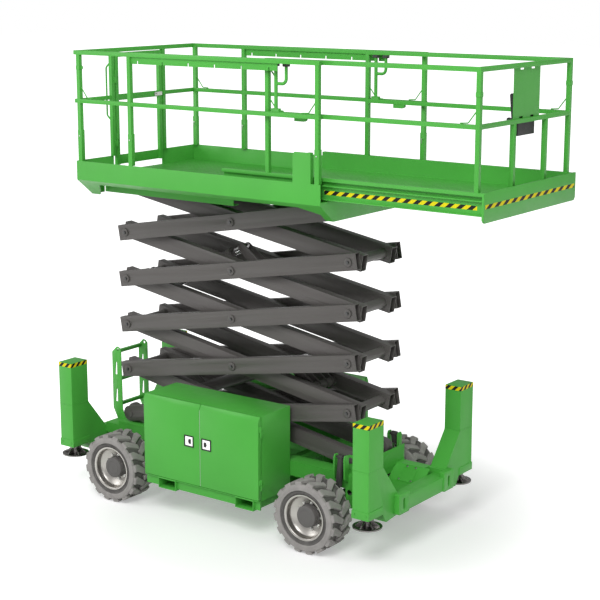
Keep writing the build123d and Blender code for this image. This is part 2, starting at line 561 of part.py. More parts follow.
def beam_outline(kind, stage, inset, round_start, round_end, tapered=False):
    """Outline of an arm as (x, z) points; a round end is a half circle about its pin, small if tapered."""
    half = ARM_HEIGHT / 2 - inset
    points = []
    for at_end, rounded in ((False, round_start), (True, round_end)):
        sign = 1 if at_end else -1
        pin = ARM_LENGTH if at_end else 0.0
        if rounded:
            steps = [-90 + 22.5 * k for k in range(9)]
            radius = TAPER_RADIUS if tapered and at_end else half
            ring = [(pin + sign * radius * math.cos(math.radians(a)), sign * radius * math.sin(math.radians(a)))
                    for a in steps]
            if tapered and at_end:
                ring = [(pin - TAPER_LENGTH, -half), *ring, (pin - TAPER_LENGTH, half)]
        else:
            reach = ARM_OVERHANG
            ring = [(pin + sign * reach, -sign * half), (pin + sign * reach, sign * half)]
        points += ring
    return [arm_point(kind, stage, along, above) for along, above in points]


def arm_beam(kind, stage, y_range, round_start, round_end, tapered=False):
    """One hollow beam of an arm, closed at its round ends."""
    y0, y1 = y_range
    beam = plate_xz(beam_outline(kind, stage, 0, round_start, round_end, tapered), y0, y1)
    start = ARM_HEIGHT / 2 if round_start else -ARM_OVERHANG - 1
    end = ARM_LENGTH - (TAPER_LENGTH + 10 if tapered else ARM_HEIGHT / 2) if round_end else ARM_LENGTH + ARM_OVERHANG + 1
    half = ARM_HEIGHT / 2 - ARM_WALL
    corners = [(start, -half), (end, -half), (end, half), (start, half)]
    hollow = plate_xz([arm_point(kind, stage, a, b) for a, b in corners], y0 + ARM_WALL, y1 - ARM_WALL)
    return beam - hollow


def make_arms():
    """Ten arms: the inner ones carry cross tubes and pins, the outer ones run on those pins."""
    for stage in range(1, STAGES + 1):
        # inner arm
        lowest, highest = stage == 1, stage == STAGES
        beam = arm_beam("inner", stage, INNER_ARM_Y, lowest, highest)
        pin_reach = OUTER_ARM_Y[1] + 1 + PIN_CAP
        pins = [(0.0, pin_reach), (ARM_LENGTH / 2, pin_reach), (ARM_LENGTH, pin_reach)]
        if lowest:
            pins[0] = (0.0, INNER_ARM_Y[1] + 30)
        if highest:
            pins[2] = (ARM_LENGTH, SLIDE_ROLLER_Y[1])
        for along, reach in pins:
            x, z = arm_point("inner", stage, along, 0)
            beam += rod_y(x, INNER_ARM_Y[0], reach, z, ARM_PIN_RADIUS)
            if reach == pin_reach:
                beam += rod_y(x, OUTER_ARM_Y[1] + 1, reach, z, PIN_CAP_RADIUS)
        if highest:
            x, z = arm_point("inner", stage, ARM_LENGTH, 0)
            beam += rod_y(x, SLIDE_ROLLER_Y[0], SLIDE_ROLLER_Y[1], z, CROSS_TUBE_RADIUS)
        arm = both_sides(beam)
        for along in (0.0, ARM_LENGTH):
            x, z = arm_point("inner", stage, along, 0)
            arm += rod_y(x, -INNER_ARM_Y[0] - 1, INNER_ARM_Y[0] + 1, z, CROSS_TUBE_RADIUS)
        for anchor_stage, add in ANCHORS.items():
            if anchor_stage == stage:
                arm += add()
        save(f"inner_arm_{stage}", arm)
        # outer arm: two beams
        beam = arm_beam("outer", stage, OUTER_ARM_Y, lowest, highest, tapered=highest)
        bores = [0.0, ARM_LENGTH / 2, ARM_LENGTH]
        if lowest:
            bores = bores[1:]
        if highest:
            bores = bores[:2]
        for along in bores:
            x, z = arm_point("outer", stage, along, 0)
            beam -= rod_y(x, OUTER_ARM_Y[0] - 1, OUTER_ARM_Y[1] + 1, z, ARM_PIN_RADIUS + FIT)
        if lowest:
            x, z = arm_point("outer", stage, 0, 0)
            roller = BASE_PIN_Z - RAIL_TOP_Z - SEAT
            beam += rod_y(x, OUTER_ARM_Y[0] - ROLLER_WIDTH, OUTER_ARM_Y[0] + 1, z, roller)
            beam += rod_y(x, OUTER_ARM_Y[1] - 1, OUTER_ARM_Y[1] + PIN_CAP, z, PIN_CAP_RADIUS)
            outer = both_sides(beam) + rod_y(x, -OUTER_ARM_Y[0], OUTER_ARM_Y[0], z, ARM_PIN_RADIUS)
        else:
            outer = both_sides(beam)
        if highest:
            x, z = arm_point("outer", stage, ARM_LENGTH, 0)
            outer += both_sides(rod_y(x, OUTER_ARM_Y[1] - 1, PIVOT_PLATE_Y + PIVOT_PLATE + 2, z, ARM_PIN_RADIUS))
        save(f"outer_arm_{stage}", outer)


ROLLER_WIDTH = 36.0
PIVOT_PLATE_Y = 366.0
PIVOT_PLATE = 16.0

# ------------------------------------------------------------------ lift cylinders
# Eye positions on the arms: distance along from the arm's lower pin, offset above its axis.
LOWER_BASE = ("inner", 1, 0.77765 * ARM_LENGTH, -104.0)
LOWER_HEAD = ("inner", 2, 0.31439 * ARM_LENGTH, 148.0)
UPPER_BASE = ("inner", 3, 0.91288 * ARM_LENGTH, -70.0)
UPPER_HEAD = ("inner", 4, 0.55379 * ARM_LENGTH, 134.0)
LOWER_CYLINDER_Y = 95.0
LOWER_CLOSED = 0.49356 * ARM_LENGTH       # eye to eye with the rod home
UPPER_CLOSED = 0.3803 * ARM_LENGTH
LOWER_BARREL_RADIUS = 58.0
UPPER_BARREL_RADIUS = 55.0
EYE_RADIUS = 42.0
EYE_WIDTH = 74.0
EAR_PLATE = 12.0
NECK = 145.0                # flat-sided end of a barrel, between its ears


def ears(centre_y, eye, tube, tube_radius):
    """Two plates beside a cylinder's eye, reaching back to a cross tube."""
    plates = []
    for side in (-1, 1):
        near = centre_y + side * (EYE_WIDTH / 2 + SEAT)
        far = near + side * EAR_PLATE
        plates.append(strap_xz(tube, eye, tube_radius + 8, EYE_RADIUS, min(near, far), max(near, far)))
    return plates[0] + plates[1]


def anchor(arm, tube_along, tube_above, centres):
    """Ears on a cross tube of an inner arm."""
    kind, stage, along, above = arm
    eye = arm_point(kind, stage, along, above)
    tube = arm_point(kind, stage, tube_along, tube_above)
    shape = rod_y(tube[0], -INNER_ARM_Y[0] - 1, INNER_ARM_Y[0] + 1, tube[1], CROSS_TUBE_RADIUS)
    for centre in centres:
        shape += ears(centre, eye, tube, CROSS_TUBE_RADIUS)
    return shape


ANCHORS = {
    1: lambda: anchor(LOWER_BASE, LOWER_BASE[2] + 250, 0, (-LOWER_CYLINDER_Y, LOWER_CYLINDER_Y)),
    2: lambda: anchor(LOWER_HEAD, LOWER_HEAD[2] - 280, 0, (-LOWER_CYLINDER_Y, LOWER_CYLINDER_Y)),
    3: lambda: anchor(UPPER_BASE, ARM_LENGTH, 0, (0.0,)),
    4: lambda: anchor(UPPER_HEAD, UPPER_HEAD[2] - 242, 0, (0.0,)),
}


def cylinder_pair(base, head, centres, barrel_radius, rod_radius, closed_length):
    """Barrels and rods of lift cylinders between two eyes; barrels are bored for their rods."""
    base_eye = arm_point(*base)
    head_eye = arm_point(*head)
    length = math.hypot(head_eye[0] - base_eye[0], head_eye[1] - base_eye[1])
    lean = math.degrees(math.atan2(head_eye[1] - base_eye[1], head_eye[0] - base_eye[0]))
    barrel_end = closed_length - 75
    barrels, rods = [], []
    for centre in centres:
        place = Pos(base_eye[0], centre, base_eye[1]) * Rot(0, -lean, 0)
        barrel = rod_x(NECK, barrel_end, 0, 0, barrel_radius)
        barrel += rod_x(barrel_end - 60, barrel_end, 0, 0, barrel_radius + 6)
        barrel += block(0, NECK + 1, -EYE_WIDTH / 2, EYE_WIDTH / 2, -30, 30)
        barrel += rod_y(0, -EYE_WIDTH / 2, EYE_WIDTH / 2, 0, EYE_RADIUS)
        barrel -= rod_x(NECK + 20, barrel_end + 1, 0, 0, rod_radius + FIT)
        rod = rod_x(NECK + 32 + length - closed_length, length - 30, 0, 0, rod_radius)
        rod += rod_y(length, -EYE_WIDTH / 2, EYE_WIDTH / 2, 0, EYE_RADIUS - 2)
        barrels.append(place * barrel)
        rods.append(place * rod)
    return barrels, rods


def make_cylinders():
    """Lower pair between stages 1 and 2, single upper cylinder between stages 3 and 4."""
    barrels, rods = cylinder_pair(LOWER_BASE, LOWER_HEAD, (-LOWER_CYLINDER_Y, LOWER_CYLINDER_Y),
                                  LOWER_BARREL_RADIUS, 35.0, LOWER_CLOSED)
    save("lower_barrels", *barrels)
    save("lower_rods", *rods)
    barrels, rods = cylinder_pair(UPPER_BASE, UPPER_HEAD, (0.0,), UPPER_BARREL_RADIUS, 32.0, UPPER_CLOSED)
    save("upper_barrel", *barrels)
    save("upper_rod", *rods)


# ------------------------------------------------------------------ platform
def make_platform():
    """Main deck: toe boards, cut-away sloping skirts, floor, cross ribs, slide channels, pivot plates."""
    x0 = MID_X + DECK_REAR_X
    x1 = MID_X + DECK_FRONT_X
    w, t = DECK_HALF_WIDTH, SKIRT_WALL
    slope = math.hypot(w - SKIRT_INNER_Y, SKIRT_FOLD_Z - SKIRT_BOTTOM_Z)
    ny, nz = (SKIRT_FOLD_Z - SKIRT_BOTTOM_Z) / slope * t, (w - SKIRT_INNER_Y) / slope * t
    skirt = plate_yz([(w, TOE_TOP_Z), (w, SKIRT_FOLD_Z), (SKIRT_INNER_Y, SKIRT_BOTTOM_Z),
                      (SKIRT_INNER_Y - ny, SKIRT_BOTTOM_Z + nz), (w - t, SKIRT_FOLD_Z + 4), (w - t, TOE_TOP_Z)],
                     x0, x1)
    cut_top = SKIRT_FOLD_Z - 40
    relief = [(x0 + 95, SKIRT_BOTTOM_Z - 5), (x0 + 233, cut_top), (x1 - 270, cut_top),
              (x1 - 80, SKIRT_BOTTOM_Z + 62), (x1 - 80, SKIRT_BOTTOM_Z - 5)]
    skirt -= plate_xz(relief, SKIRT_INNER_Y - 60, w - 1)
    deck = both_sides(skirt)
    deck += block(x0, x1, -w + 1, w - 1, FLOOR_TOP_Z - FLOOR_THICKNESS, FLOOR_TOP_Z)
    # rear toe board in two lengths beside the gate, front and rear cross panels
    deck += both_sides(block(x0, x0 + t, GATE_HALF_WIDTH + 15, w - 1, FLOOR_TOP_Z - 1, TOE_TOP_Z))
    panel = [(w - 1, FLOOR_TOP_Z - 1), (w - 1, SKIRT_FOLD_Z), (SKIRT_INNER_Y, SKIRT_BOTTOM_Z),
             (-SKIRT_INNER_Y, SKIRT_BOTTOM_Z), (-w + 1, SKIRT_FOLD_Z), (-w + 1, FLOOR_TOP_Z - 1)]
    deck += plate_yz(panel, x1 - t, x1)
    channel_y = SLIDE_ROLLER_Y[1] + 13
    notch = block(x0 - 1, x0 + t + 1, -channel_y - 17, channel_y + 17, SKIRT_BOTTOM_Z - 1, SKIRT_FOLD_Z - 47)
    deck += plate_yz(panel, x0, x0 + t) - notch
    rib_bottom = TOP_PIN_Z + ARM_HEIGHT / 2 + 10
    for number in range(6):
        rib_x = x0 + 250 + number * 430
        deck += block(rib_x, rib_x + 40, -w + 40, w - 40, rib_bottom, FLOOR_TOP_Z - FLOOR_THICKNESS + 1)
    # channels that the topmost sliding rollers run in
    high, low = TOP_PIN_Z + CROSS_TUBE_RADIUS + SEAT, TOP_PIN_Z - CROSS_TUBE_RADIUS - 0.5
    for y0, y1, z0, z1 in ((channel_y - 75, channel_y, low - 8, low), (channel_y - 75, channel_y, high, high + 8),
                           (channel_y - 8, channel_y, low - 8, FLOOR_TOP_Z - FLOOR_THICKNESS + 1)):
        deck += both_sides(block(x0, MID_X + 80, y0, y1, z0, z1))
    # pivot plates at the front column
    plate = plate_xz([(FRONT_COLUMN_X - 110, FLOOR_TOP_Z - 4), (FRONT_COLUMN_X - 45, TOP_PIN_Z - 20),
                      (FRONT_COLUMN_X - 25, TOP_PIN_Z - 45), (FRONT_COLUMN_X + 10, TOP_PIN_Z - 45),
                      (FRONT_COLUMN_X + 32, TOP_PIN_Z - 20), (FRONT_COLUMN_X + 38, FLOOR_TOP_Z - 4)],
                     PIVOT_PLATE_Y, PIVOT_PLATE_Y + PIVOT_PLATE)
    plate -= rod_y(FRONT_COLUMN_X, PIVOT_PLATE_Y - 1, PIVOT_PLATE_Y + 20, TOP_PIN_Z, ARM_PIN_RADIUS + FIT)
    deck += both_sides(plate)
    # lock housing beside the right-hand front post
    housing = plate_xz([(x1 - 285, TOE_TOP_Z - 30), (x1 - 100, TOE_TOP_Z - 30), (x1 - 100, 3530),
                        (x1 - 265, 3530), (x1 - 285, 3505)], w - t, w)
    housing += block(x1 - 140, x1 - 100, w - 40, w, 3240, 3530)
    deck += other_side(housing)
    save("platform_deck", deck)


GATE_HALF_WIDTH = 335.0


def side_rails(x0, x1, y_out, posts, foot_z, socket):
    """Top rail, mid rail and posts of one side of a guardrail; posts are (x, has socket)."""
    y0, y1 = y_out - RAIL_TUBE, y_out
    frame = block(x0, x1, y0, y1, TOP_RAIL_Z - RAIL_TUBE, TOP_RAIL_Z)
    frame += block(x0, x1, y0 + 1, y1 - 1, MID_RAIL_Z - 36, MID_RAIL_Z)
    for post_x in posts:
        frame += block(post_x - RAIL_TUBE / 2, post_x + RAIL_TUBE / 2, y0, y1, foot_z, TOP_RAIL_Z - 1)
        if socket:
            frame += block(post_x - socket / 2, post_x + socket / 2, y0 - 4, y1, foot_z, SOCKET_TOP_Z)
    return frame


def make_guardrails():
    """Main guardrails: two sides and the rear with its gate."""
    x0 = MID_X + DECK_REAR_X
    x1 = MID_X + DECK_FRONT_X
    w = DECK_HALF_WIDTH
    posts = [x0 + 50, MID_X - 810, x1 - 38]
    side = side_rails(x0, x1 - 13, w, posts, TOE_TOP_Z, SOCKET_TUBE)
    strip_top = TOP_RAIL_Z - RAIL_TUBE
    strip = block(MID_X - 790, MID_X + 851, w - 22, w - 16, strip_top - 62, strip_top + 1)
    for number in range(6):
        notch_x = MID_X - 718 + number * 295
        strip -= block(notch_x, notch_x + 14, w - 23, w - 15, strip_top - 63, strip_top - 34)
    side += strip
    save("main_guardrail_left", side)
    save("main_guardrail_right", other_side(side))
    y_end = w - RAIL_TUBE
    rear = block(x0, x0 + RAIL_TUBE, -y_end, y_end, TOP_RAIL_Z - RAIL_TUBE, TOP_RAIL_Z)
    half = block(x0 + 1, x0 + RAIL_TUBE - 1, GATE_HALF_WIDTH + 11, y_end, MID_RAIL_Z - 36, MID_RAIL_Z)
    half += block(x0, x0 + RAIL_TUBE, GATE_HALF_WIDTH + 10, GATE_HALF_WIDTH + 10 + RAIL_TUBE, TOE_TOP_Z, TOP_RAIL_Z - 1)
    rear += both_sides(half)
    # gate: frame of tube with a latch bar and a toe plate, hung on the right-hand post
    gate_top = TOP_RAIL_Z - RAIL_TUBE - 8
    gx0, gx1 = x0 + 1, x0 + RAIL_TUBE - 1
    g = GATE_HALF_WIDTH - 6
    gate = both_sides(block(gx0, gx1, g - 40, g, GATE_BOTTOM_Z, gate_top))
    gate += block(gx0, gx1, -g, g, gate_top - 40, gate_top)
    gate += block(gx0 + 4, gx1 - 4, -g, g, MID_RAIL_Z - 50, MID_RAIL_Z + 5)
    gate += block(gx0, gx0 + 8, -g, g, GATE_BOTTOM_Z, TOE_TOP_Z)
    # hinges on the inner face of the right-hand post
    hinge_x, hinge_y = x0 + RAIL_TUBE + 8, -GATE_HALF_WIDTH - 2
    for low in (GATE_BOTTOM_Z + 240, gate_top - 222):
        gate += rod_z(hinge_x, hinge_y, low, low + 60, 8)
        gate += block(gx1 - 1, hinge_x, hinge_y + 2, hinge_y + 30, low, low + 60)
        rear += rod_z(hinge_x, hinge_y, low - 60, low - SEAT, 8)
        rear += block(x0 + RAIL_TUBE - 1, hinge_x, hinge_y - 30, hinge_y - 2, low - 61, low - 1)
    save("gate", gate)
    save("rear_guardrail", rear)


GATE_BOTTOM_Z = 3180.0


def make_extension():
    """Roll-out deck with side beams and front plate, its guardrail and the control box."""
    x0 = MID_X + EXTENSION_REAR_X
    x1 = MID_X + EXTENSION_FRONT_X
    w, web = EXTENSION_HALF_WIDTH, EXTENSION_WEB_Y
    low, high = EXTENSION_BEAM_Z
    top = EXTENSION_TOE_TOP_Z
    side = plate_yz([
        (web - 8, low), (w, low), (w, low + 10), (web, low + 10), (web, high - 10), (w, high - 10), (w, high),
        (web, high), (web, top - 10), (w - 8, top - 10), (w - 8, top - 30), (w, top - 30), (w, top), (web - 8, top),
    ], x0, x1 - 20)
    deck = both_sides(side)
    deck += block(x0, x1 - 20, -web + 7, web - 7, 3158, 3168)
    front_w = w + 10
    deck += plate_yz([(front_w, top + 2), (front_w, FRONT_PLATE_BOTTOM_Z + 24), (front_w - 24, FRONT_PLATE_BOTTOM_Z),
                      (-front_w + 24, FRONT_PLATE_BOTTOM_Z), (-front_w, FRONT_PLATE_BOTTOM_Z + 24),
                      (-front_w, top + 2)], x1 - 20, x1)
    # pads that slide on the main floor
    for pad_x in (x0 + 30, x0 + 500, x0 + 950):
        deck += both_sides(block(pad_x, pad_x + 90, web - 8, w - 5, FLOOR_TOP_Z + SEAT, low + 1))
    save("extension_deck", deck)
    rail_x1 = MID_X + 2760
    side = side_rails(MID_X + 680, rail_x1, w, [MID_X + 699, rail_x1 - RAIL_TUBE / 2], top, 0)
    # push handle: a post on a foot block, and a bent tube beside it
    handle_x, handle_y, bend_z = MID_X + 785, w - RAIL_TUBE / 2, TOP_RAIL_Z - 210
    under = TOP_RAIL_Z - RAIL_TUBE + 1
    side += rod_z(handle_x, handle_y, MID_RAIL_Z - 1, under, 16)
    side += block(handle_x - 39, handle_x + 39, handle_y - 17, handle_y + 17, MID_RAIL_Z - 1, MID_RAIL_Z + 25)
    path = FilletPolyline((handle_x, handle_y, bend_z), (handle_x + 108, handle_y, bend_z),
                          (handle_x + 108, handle_y, under), radius=45)
    side += sweep(Plane((handle_x, handle_y, bend_z), z_dir=(1, 0, 0)) * Circle(14), path=path)
    rails = both_sides(side)
    y_end = w - 1
    rails += block(rail_x1 - RAIL_TUBE, rail_x1, -y_end, y_end, TOP_RAIL_Z - RAIL_TUBE, TOP_RAIL_Z)
    rails += block(rail_x1 - RAIL_TUBE + 1, rail_x1 - 1, -y_end, y_end, MID_RAIL_Z - 36, MID_RAIL_Z)
    for post_y in (-206, 338):
        rails += block(rail_x1 - RAIL_TUBE, rail_x1, post_y - 19, post_y + 19, top - 150, MID_RAIL_Z - 35)
    save("extension_guardrail", rails)
    # the console leans away from the rail and its face is inclined
    back = rail_x1 - RAIL_TUBE + 1 - SEAT
    low, high = MID_RAIL_Z - 145, MID_RAIL_Z + 195
    console = plate_xz([(back, low), (back, high), (back - 74, high), (back - 82, high - 12), (back - 50, low)],
                       CONTROL_Y - CONTROL_WIDTH / 2, CONTROL_Y + CONTROL_WIDTH / 2)
    save("control_box", console)


os.makedirs("parts", exist_ok=True)
make_axles(make_wheels())
make_chassis()
make_towers()
make_ladder()
make_fork_pockets()
make_cabinets()
make_arms()
make_cylinders()
make_platform()
make_guardrails()
make_extension()
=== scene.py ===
"""Rough-terrain scissor lift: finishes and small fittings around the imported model."""

import json
import logging
import math
from dataclasses import dataclass, field
from enum import Enum
from typing import Iterable, Optional, Sequence

import bmesh
import bpy
from mathutils import Matrix, Vector


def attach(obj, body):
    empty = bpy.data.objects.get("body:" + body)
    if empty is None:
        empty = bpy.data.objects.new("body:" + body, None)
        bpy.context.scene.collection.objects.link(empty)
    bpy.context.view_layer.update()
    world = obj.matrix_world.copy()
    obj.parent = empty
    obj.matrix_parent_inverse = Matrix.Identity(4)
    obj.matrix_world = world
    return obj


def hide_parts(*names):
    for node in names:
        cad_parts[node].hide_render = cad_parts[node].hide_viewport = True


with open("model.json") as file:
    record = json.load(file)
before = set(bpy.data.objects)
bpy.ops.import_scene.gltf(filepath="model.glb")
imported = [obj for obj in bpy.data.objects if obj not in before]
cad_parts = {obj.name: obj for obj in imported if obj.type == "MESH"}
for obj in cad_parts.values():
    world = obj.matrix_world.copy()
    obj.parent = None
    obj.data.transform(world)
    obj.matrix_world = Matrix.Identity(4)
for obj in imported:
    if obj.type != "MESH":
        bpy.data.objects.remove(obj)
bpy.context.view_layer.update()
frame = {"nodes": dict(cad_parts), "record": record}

LOG = logging.getLogger("scissor_lift")

Colour = tuple[float, float, float, float]
Point = tuple[float, float, float]
Span = tuple[float, float]
Material, Mesh = bpy.types.Material, bpy.types.Mesh
Node, Socket, Tree = bpy.types.Node, bpy.types.NodeSocket, bpy.types.NodeTree


# ------------------------------------------------------------------ node helpers
class NodeTree:
    """Short hand for building a material's node tree."""

    def __init__(self, name: str) -> None:
        """Start an empty material.

        Args:
            name: the material's name.
        """
        self.material = bpy.data.materials.new(name)
        self.material.use_nodes = True
        self.tree = self.material.node_tree
        self.tree.nodes.clear()
        self.output = self.tree.nodes.new("ShaderNodeOutputMaterial")
        self.shader = self.tree.nodes.new("ShaderNodeBsdfPrincipled")
        self.link(self.shader.outputs["BSDF"], self.output.inputs["Surface"])

    def link(self, source: Socket, target: Socket) -> None:
        """Join two sockets."""
        self.tree.links.new(source, target)

    def node(self, kind: str, **settings: object) -> Node:
        """Add a node.

        Args:
            kind: the node's type name.
            **settings: attributes of the node.

        Returns:
            The new node.
        """
        made = self.tree.nodes.new(kind)
        for key, value in settings.items():
            setattr(made, key, value)
        return made

    def feed(self, **inputs: object) -> None:
        """Link or set inputs of the shader.

        Args:
            **inputs: sockets or values by input name, with underscores for spaces.
        """
        for key, value in inputs.items():
            target = self.shader.inputs[key.replace("_", " ")]
            if isinstance(value, Socket):
                self.link(value, target)
            else:
                target.default_value = value

    def noise(self, scale: float, detail: float = 3.0) -> Socket:
        """Noise from 0 to 1 over the object's own coordinates.

        Args:
            scale: features per metre.
            detail: octaves.

        Returns:
            The value socket.
        """
        made = self.node("ShaderNodeTexNoise")
        made.inputs["Scale"].default_value = scale
        made.inputs["Detail"].default_value = detail
        self.link(self.node("ShaderNodeTexCoord").outputs["Object"], made.inputs["Vector"])
        return made.outputs["Fac"]

    def span(self, source: Socket, low: float, high: float, to_low: float,
             to_high: float) -> Socket:
        """Map a value from one range to another, clamped.

        Args:
            source: the value.
            low: start of the source's range.
            high: end of the source's range.
            to_low: result at low.
            to_high: result at high.

        Returns:
            The value socket.
        """
        made = self.node("ShaderNodeMapRange")
        for socket, value in zip(("From Min", "From Max", "To Min", "To Max"), (low, high, to_low, to_high)):
            made.inputs[socket].default_value = value
        self.link(source, made.inputs["Value"])
        return made.outputs["Result"]

    def math(self, operation: str, first: Socket, second: object) -> Socket:
        """Arithmetic on a value and a number or another value.

        Args:
            operation: the Math node's operation.
            first: the first value.
            second: a number or a socket.

        Returns:
            The value socket.
        """
        made = self.node("ShaderNodeMath", operation=operation)
        self.link(first, made.inputs[0])
        if isinstance(second, (int, float)):
            made.inputs[1].default_value = second
        else:
            self.link(second, made.inputs[1])
        return made.outputs["Value"]

    def mix(self, factor: Socket, first: Colour, second: Colour) -> Socket:
        """Blend two colours.

        Args:
            factor: share of the second.
            first: colour at 0.
            second: colour at 1.

        Returns:
            The colour socket.
        """
        made = self.node("ShaderNodeMix", data_type="RGBA")
        self.link(factor, made.inputs["Factor"])
        made.inputs["A"].default_value = first
        made.inputs["B"].default_value = second
        return made.outputs["Result"]

    def bump(self, height: Socket, strength: float, distance: float) -> None:
        """Add relief to the shader's normal.

        Args:
            height: the height value.
            strength: from 0 to 1.
            distance: depth in metres.
        """
        made = self.node("ShaderNodeBump")
        made.inputs["Strength"].default_value = strength
        made.inputs["Distance"].default_value = distance
        self.link(height, made.inputs["Height"])
        self.link(made.outputs["Normal"], self.shader.inputs["Normal"])


def shade(colour: Colour, factor: float) -> Colour:
    """A colour made lighter or darker by a factor."""
    return (colour[0] * factor, colour[1] * factor, colour[2] * factor, colour[3])


# ------------------------------------------------------------------ finishes
@dataclass(frozen=True)
class Enamel:
    """Sprayed and baked paint with a slight orange peel."""

    name: str
    colour: Colour
    roughness: float = 0.42
    coat: float = 0.05
    coat_roughness: float = 0.2
    shine: float = 0.28
    peel: float = 0.06
    peel_depth: float = 0.0006
    tone_spread: float = 0.05
    patches_per_metre: float = 1.7
    clouds_per_metre: float = 9.0
    grains_per_metre: float = 420.0

    def make(self) -> Material:
        """Build the material."""
        nodes = NodeTree(self.name)
        patches = nodes.span(nodes.noise(self.patches_per_metre, 4.0), 0.3, 0.7, 0.0, 1.0)
        clouds = nodes.noise(self.clouds_per_metre, 5.0)
        darker, lighter = shade(self.colour, 1 - self.tone_spread), shade(self.colour, 1 + self.tone_spread)
        nodes.feed(Base_Color=nodes.mix(patches, darker, lighter),
                   Roughness=nodes.span(clouds, 0.25, 0.75, self.roughness - 0.05, self.roughness + 0.07),
                   Specular_IOR_Level=self.shine, Coat_Weight=self.coat, Coat_Roughness=self.coat_roughness)
        nodes.bump(nodes.noise(self.grains_per_metre, 2.0), self.peel, self.peel_depth)
        return nodes.material


@dataclass(frozen=True)
class TyreRubber:
    """Light grey non-marking rubber, dusty in random patches."""

    name: str
    colour: Colour
    dust: Colour
    roughness: Span = (0.72, 0.9)
    shine: float = 0.3
    relief: float = 0.25
    relief_depth: float = 0.0012

    def make(self) -> Material:
        """Build the material."""
        nodes = NodeTree(self.name)
        dusty = nodes.span(nodes.noise(14.0, 6.0), 0.35, 0.7, 0.0, 1.0)
        nodes.feed(Base_Color=nodes.mix(dusty, self.colour, self.dust),
                   Roughness=nodes.span(nodes.noise(60.0, 3.0), 0.3, 0.7, *self.roughness),
                   Specular_IOR_Level=self.shine)
        nodes.bump(nodes.noise(260.0, 4.0), self.relief, self.relief_depth)
        return nodes.material


@dataclass(frozen=True)
class Metal:
    """Bare or plated metal with fine brushing."""

    name: str
    colour: Colour
    roughness: float = 0.25
    grain: float = 0.05
    grain_depth: float = 0.0004

    def make(self) -> Material:
        """Build the material."""
        nodes = NodeTree(self.name)
        fine = nodes.noise(90.0, 6.0)
        smoothest, roughest = max(0.02, self.roughness - 0.05), self.roughness + 0.08
        nodes.feed(Base_Color=nodes.mix(fine, shade(self.colour, 0.93), shade(self.colour, 1.05)),
                   Metallic=1.0, Roughness=nodes.span(fine, 0.3, 0.7, smoothest, roughest))
        nodes.bump(nodes.noise(700.0, 2.0), self.grain, self.grain_depth)
        return nodes.material


@dataclass(frozen=True)
class HazardTape:
    """Slanting black and yellow bands."""

    name: str
    across: Sequence[float]
    pitch: float = 0.075
    roughness: Span = (0.45, 0.6)
    shine: float = 0.2
    yellow: Colour = (0.88, 0.74, 0.008, 1.0)
    black: Colour = (0.012, 0.012, 0.012, 1.0)

    def make(self) -> Material:
        """Build the material."""
        nodes = NodeTree(self.name)
        coordinates = nodes.node("ShaderNodeTexCoord")
        dot = nodes.node("ShaderNodeVectorMath", operation="DOT_PRODUCT")
        dot.inputs[1].default_value = self.across
        nodes.link(coordinates.outputs["Object"], dot.inputs[0])
        phase = nodes.math("FRACT", nodes.math("DIVIDE", dot.outputs["Value"], self.pitch), 0.0)
        band = nodes.math("GREATER_THAN", phase, 0.5)
        nodes.feed(Base_Color=nodes.mix(band, self.yellow, self.black),
                   Roughness=nodes.span(nodes.noise(30.0), 0.3, 0.7, *self.roughness),
                   Specular_IOR_Level=self.shine)
        return nodes.material


Coat = Enamel | TyreRubber | Metal | HazardTape


GREEN = Enamel("green enamel", (0.082, 0.445, 0.060, 1.0))
ARM_GREY = Enamel("arm enamel", (0.105, 0.097, 0.093, 1.0), roughness=0.42, coat=0.1)
BLACK = Enamel("black enamel", (0.055, 0.053, 0.051, 1.0), roughness=0.5, coat=0.05)
PLASTIC = Enamel("moulded plastic", (0.025, 0.025, 0.026, 1.0), roughness=0.55, coat=0.0, peel=0.2)
RUBBER = TyreRubber("tyre rubber", (0.315, 0.300, 0.290, 1.0), (0.38, 0.362, 0.350, 1.0))
# Dark rubber for the ring round the bead, and painted shade on the tread between the lugs where the grooves
# fall dark.
DARK_RING_AND_GROOVE_SHADE = TyreRubber("dark bead ring and painted groove shade", (0.105, 0.100, 0.096, 1.0), (0.16, 0.153, 0.147, 1.0))
RIM = Metal("rim metal", (0.50, 0.48, 0.45, 1.0), roughness=0.38)
CHROME = Metal("chrome", (0.78, 0.78, 0.78, 1.0), roughness=0.08, grain=0.0)
ZINC = Metal("zinc plate", (0.6, 0.6, 0.58, 1.0), roughness=0.3)
DARK_ZINC = Metal("blackened bolts", (0.10, 0.10, 0.10, 1.0), roughness=0.45)
HUB_GREY = Enamel("hub enamel", (0.128, 0.123, 0.119, 1.0), roughness=0.5, coat=0.05)
DARK_CHROME = Metal("jack chrome", (0.20, 0.19, 0.185, 1.0), roughness=0.28, grain=0.05)
# Pale plastic of the keys; on the doors it is a painted highlight, a pale strip standing for the lit edges at
# the door joint.
PALE_KEYS_AND_EDGE_HIGHLIGHT = Enamel("pale keys and painted door highlight", (0.55, 0.60, 0.54, 1.0), roughness=0.55, coat=0.0)
STOP_RED = Enamel("stop button red", (0.55, 0.012, 0.010, 1.0), roughness=0.35, coat=0.3)
TOWER_TAPE = HazardTape("tower tape", (1.0, 1.0, -1.0))
SIDE_TAPE = HazardTape("side tape", (1.0, 0.0, -1.2), pitch=0.100)
FRONT_TAPE = HazardTape("front tape", (0.0, 1.0, -1.6), pitch=0.135)
BATTERY = Enamel("battery case", (0.2, 0.2, 0.21, 1.0), roughness=0.5, coat=0.0)

_MATERIALS: dict[str, Material] = {}


def finish(kind: Coat) -> Material:
    """The one material of a finish, built on first use."""
    if kind.name not in _MATERIALS:
        _MATERIALS[kind.name] = kind.make()
    return _MATERIALS[kind.name]


# ------------------------------------------------------------------ dressing of the CAD nodes
class Slot(Enum):
    """Material slots of the record."""

    GREEN = "green_paint"
    ARM = "arm_paint"
    BLACK = "black_paint"
    TYRE = "tyre"
    RIM = "rim_metal"
    JACK = "jack_chrome"
    ROD = "rod_chrome"
    BATTERY = "battery_case"
    CONTROL = "control_plastic"


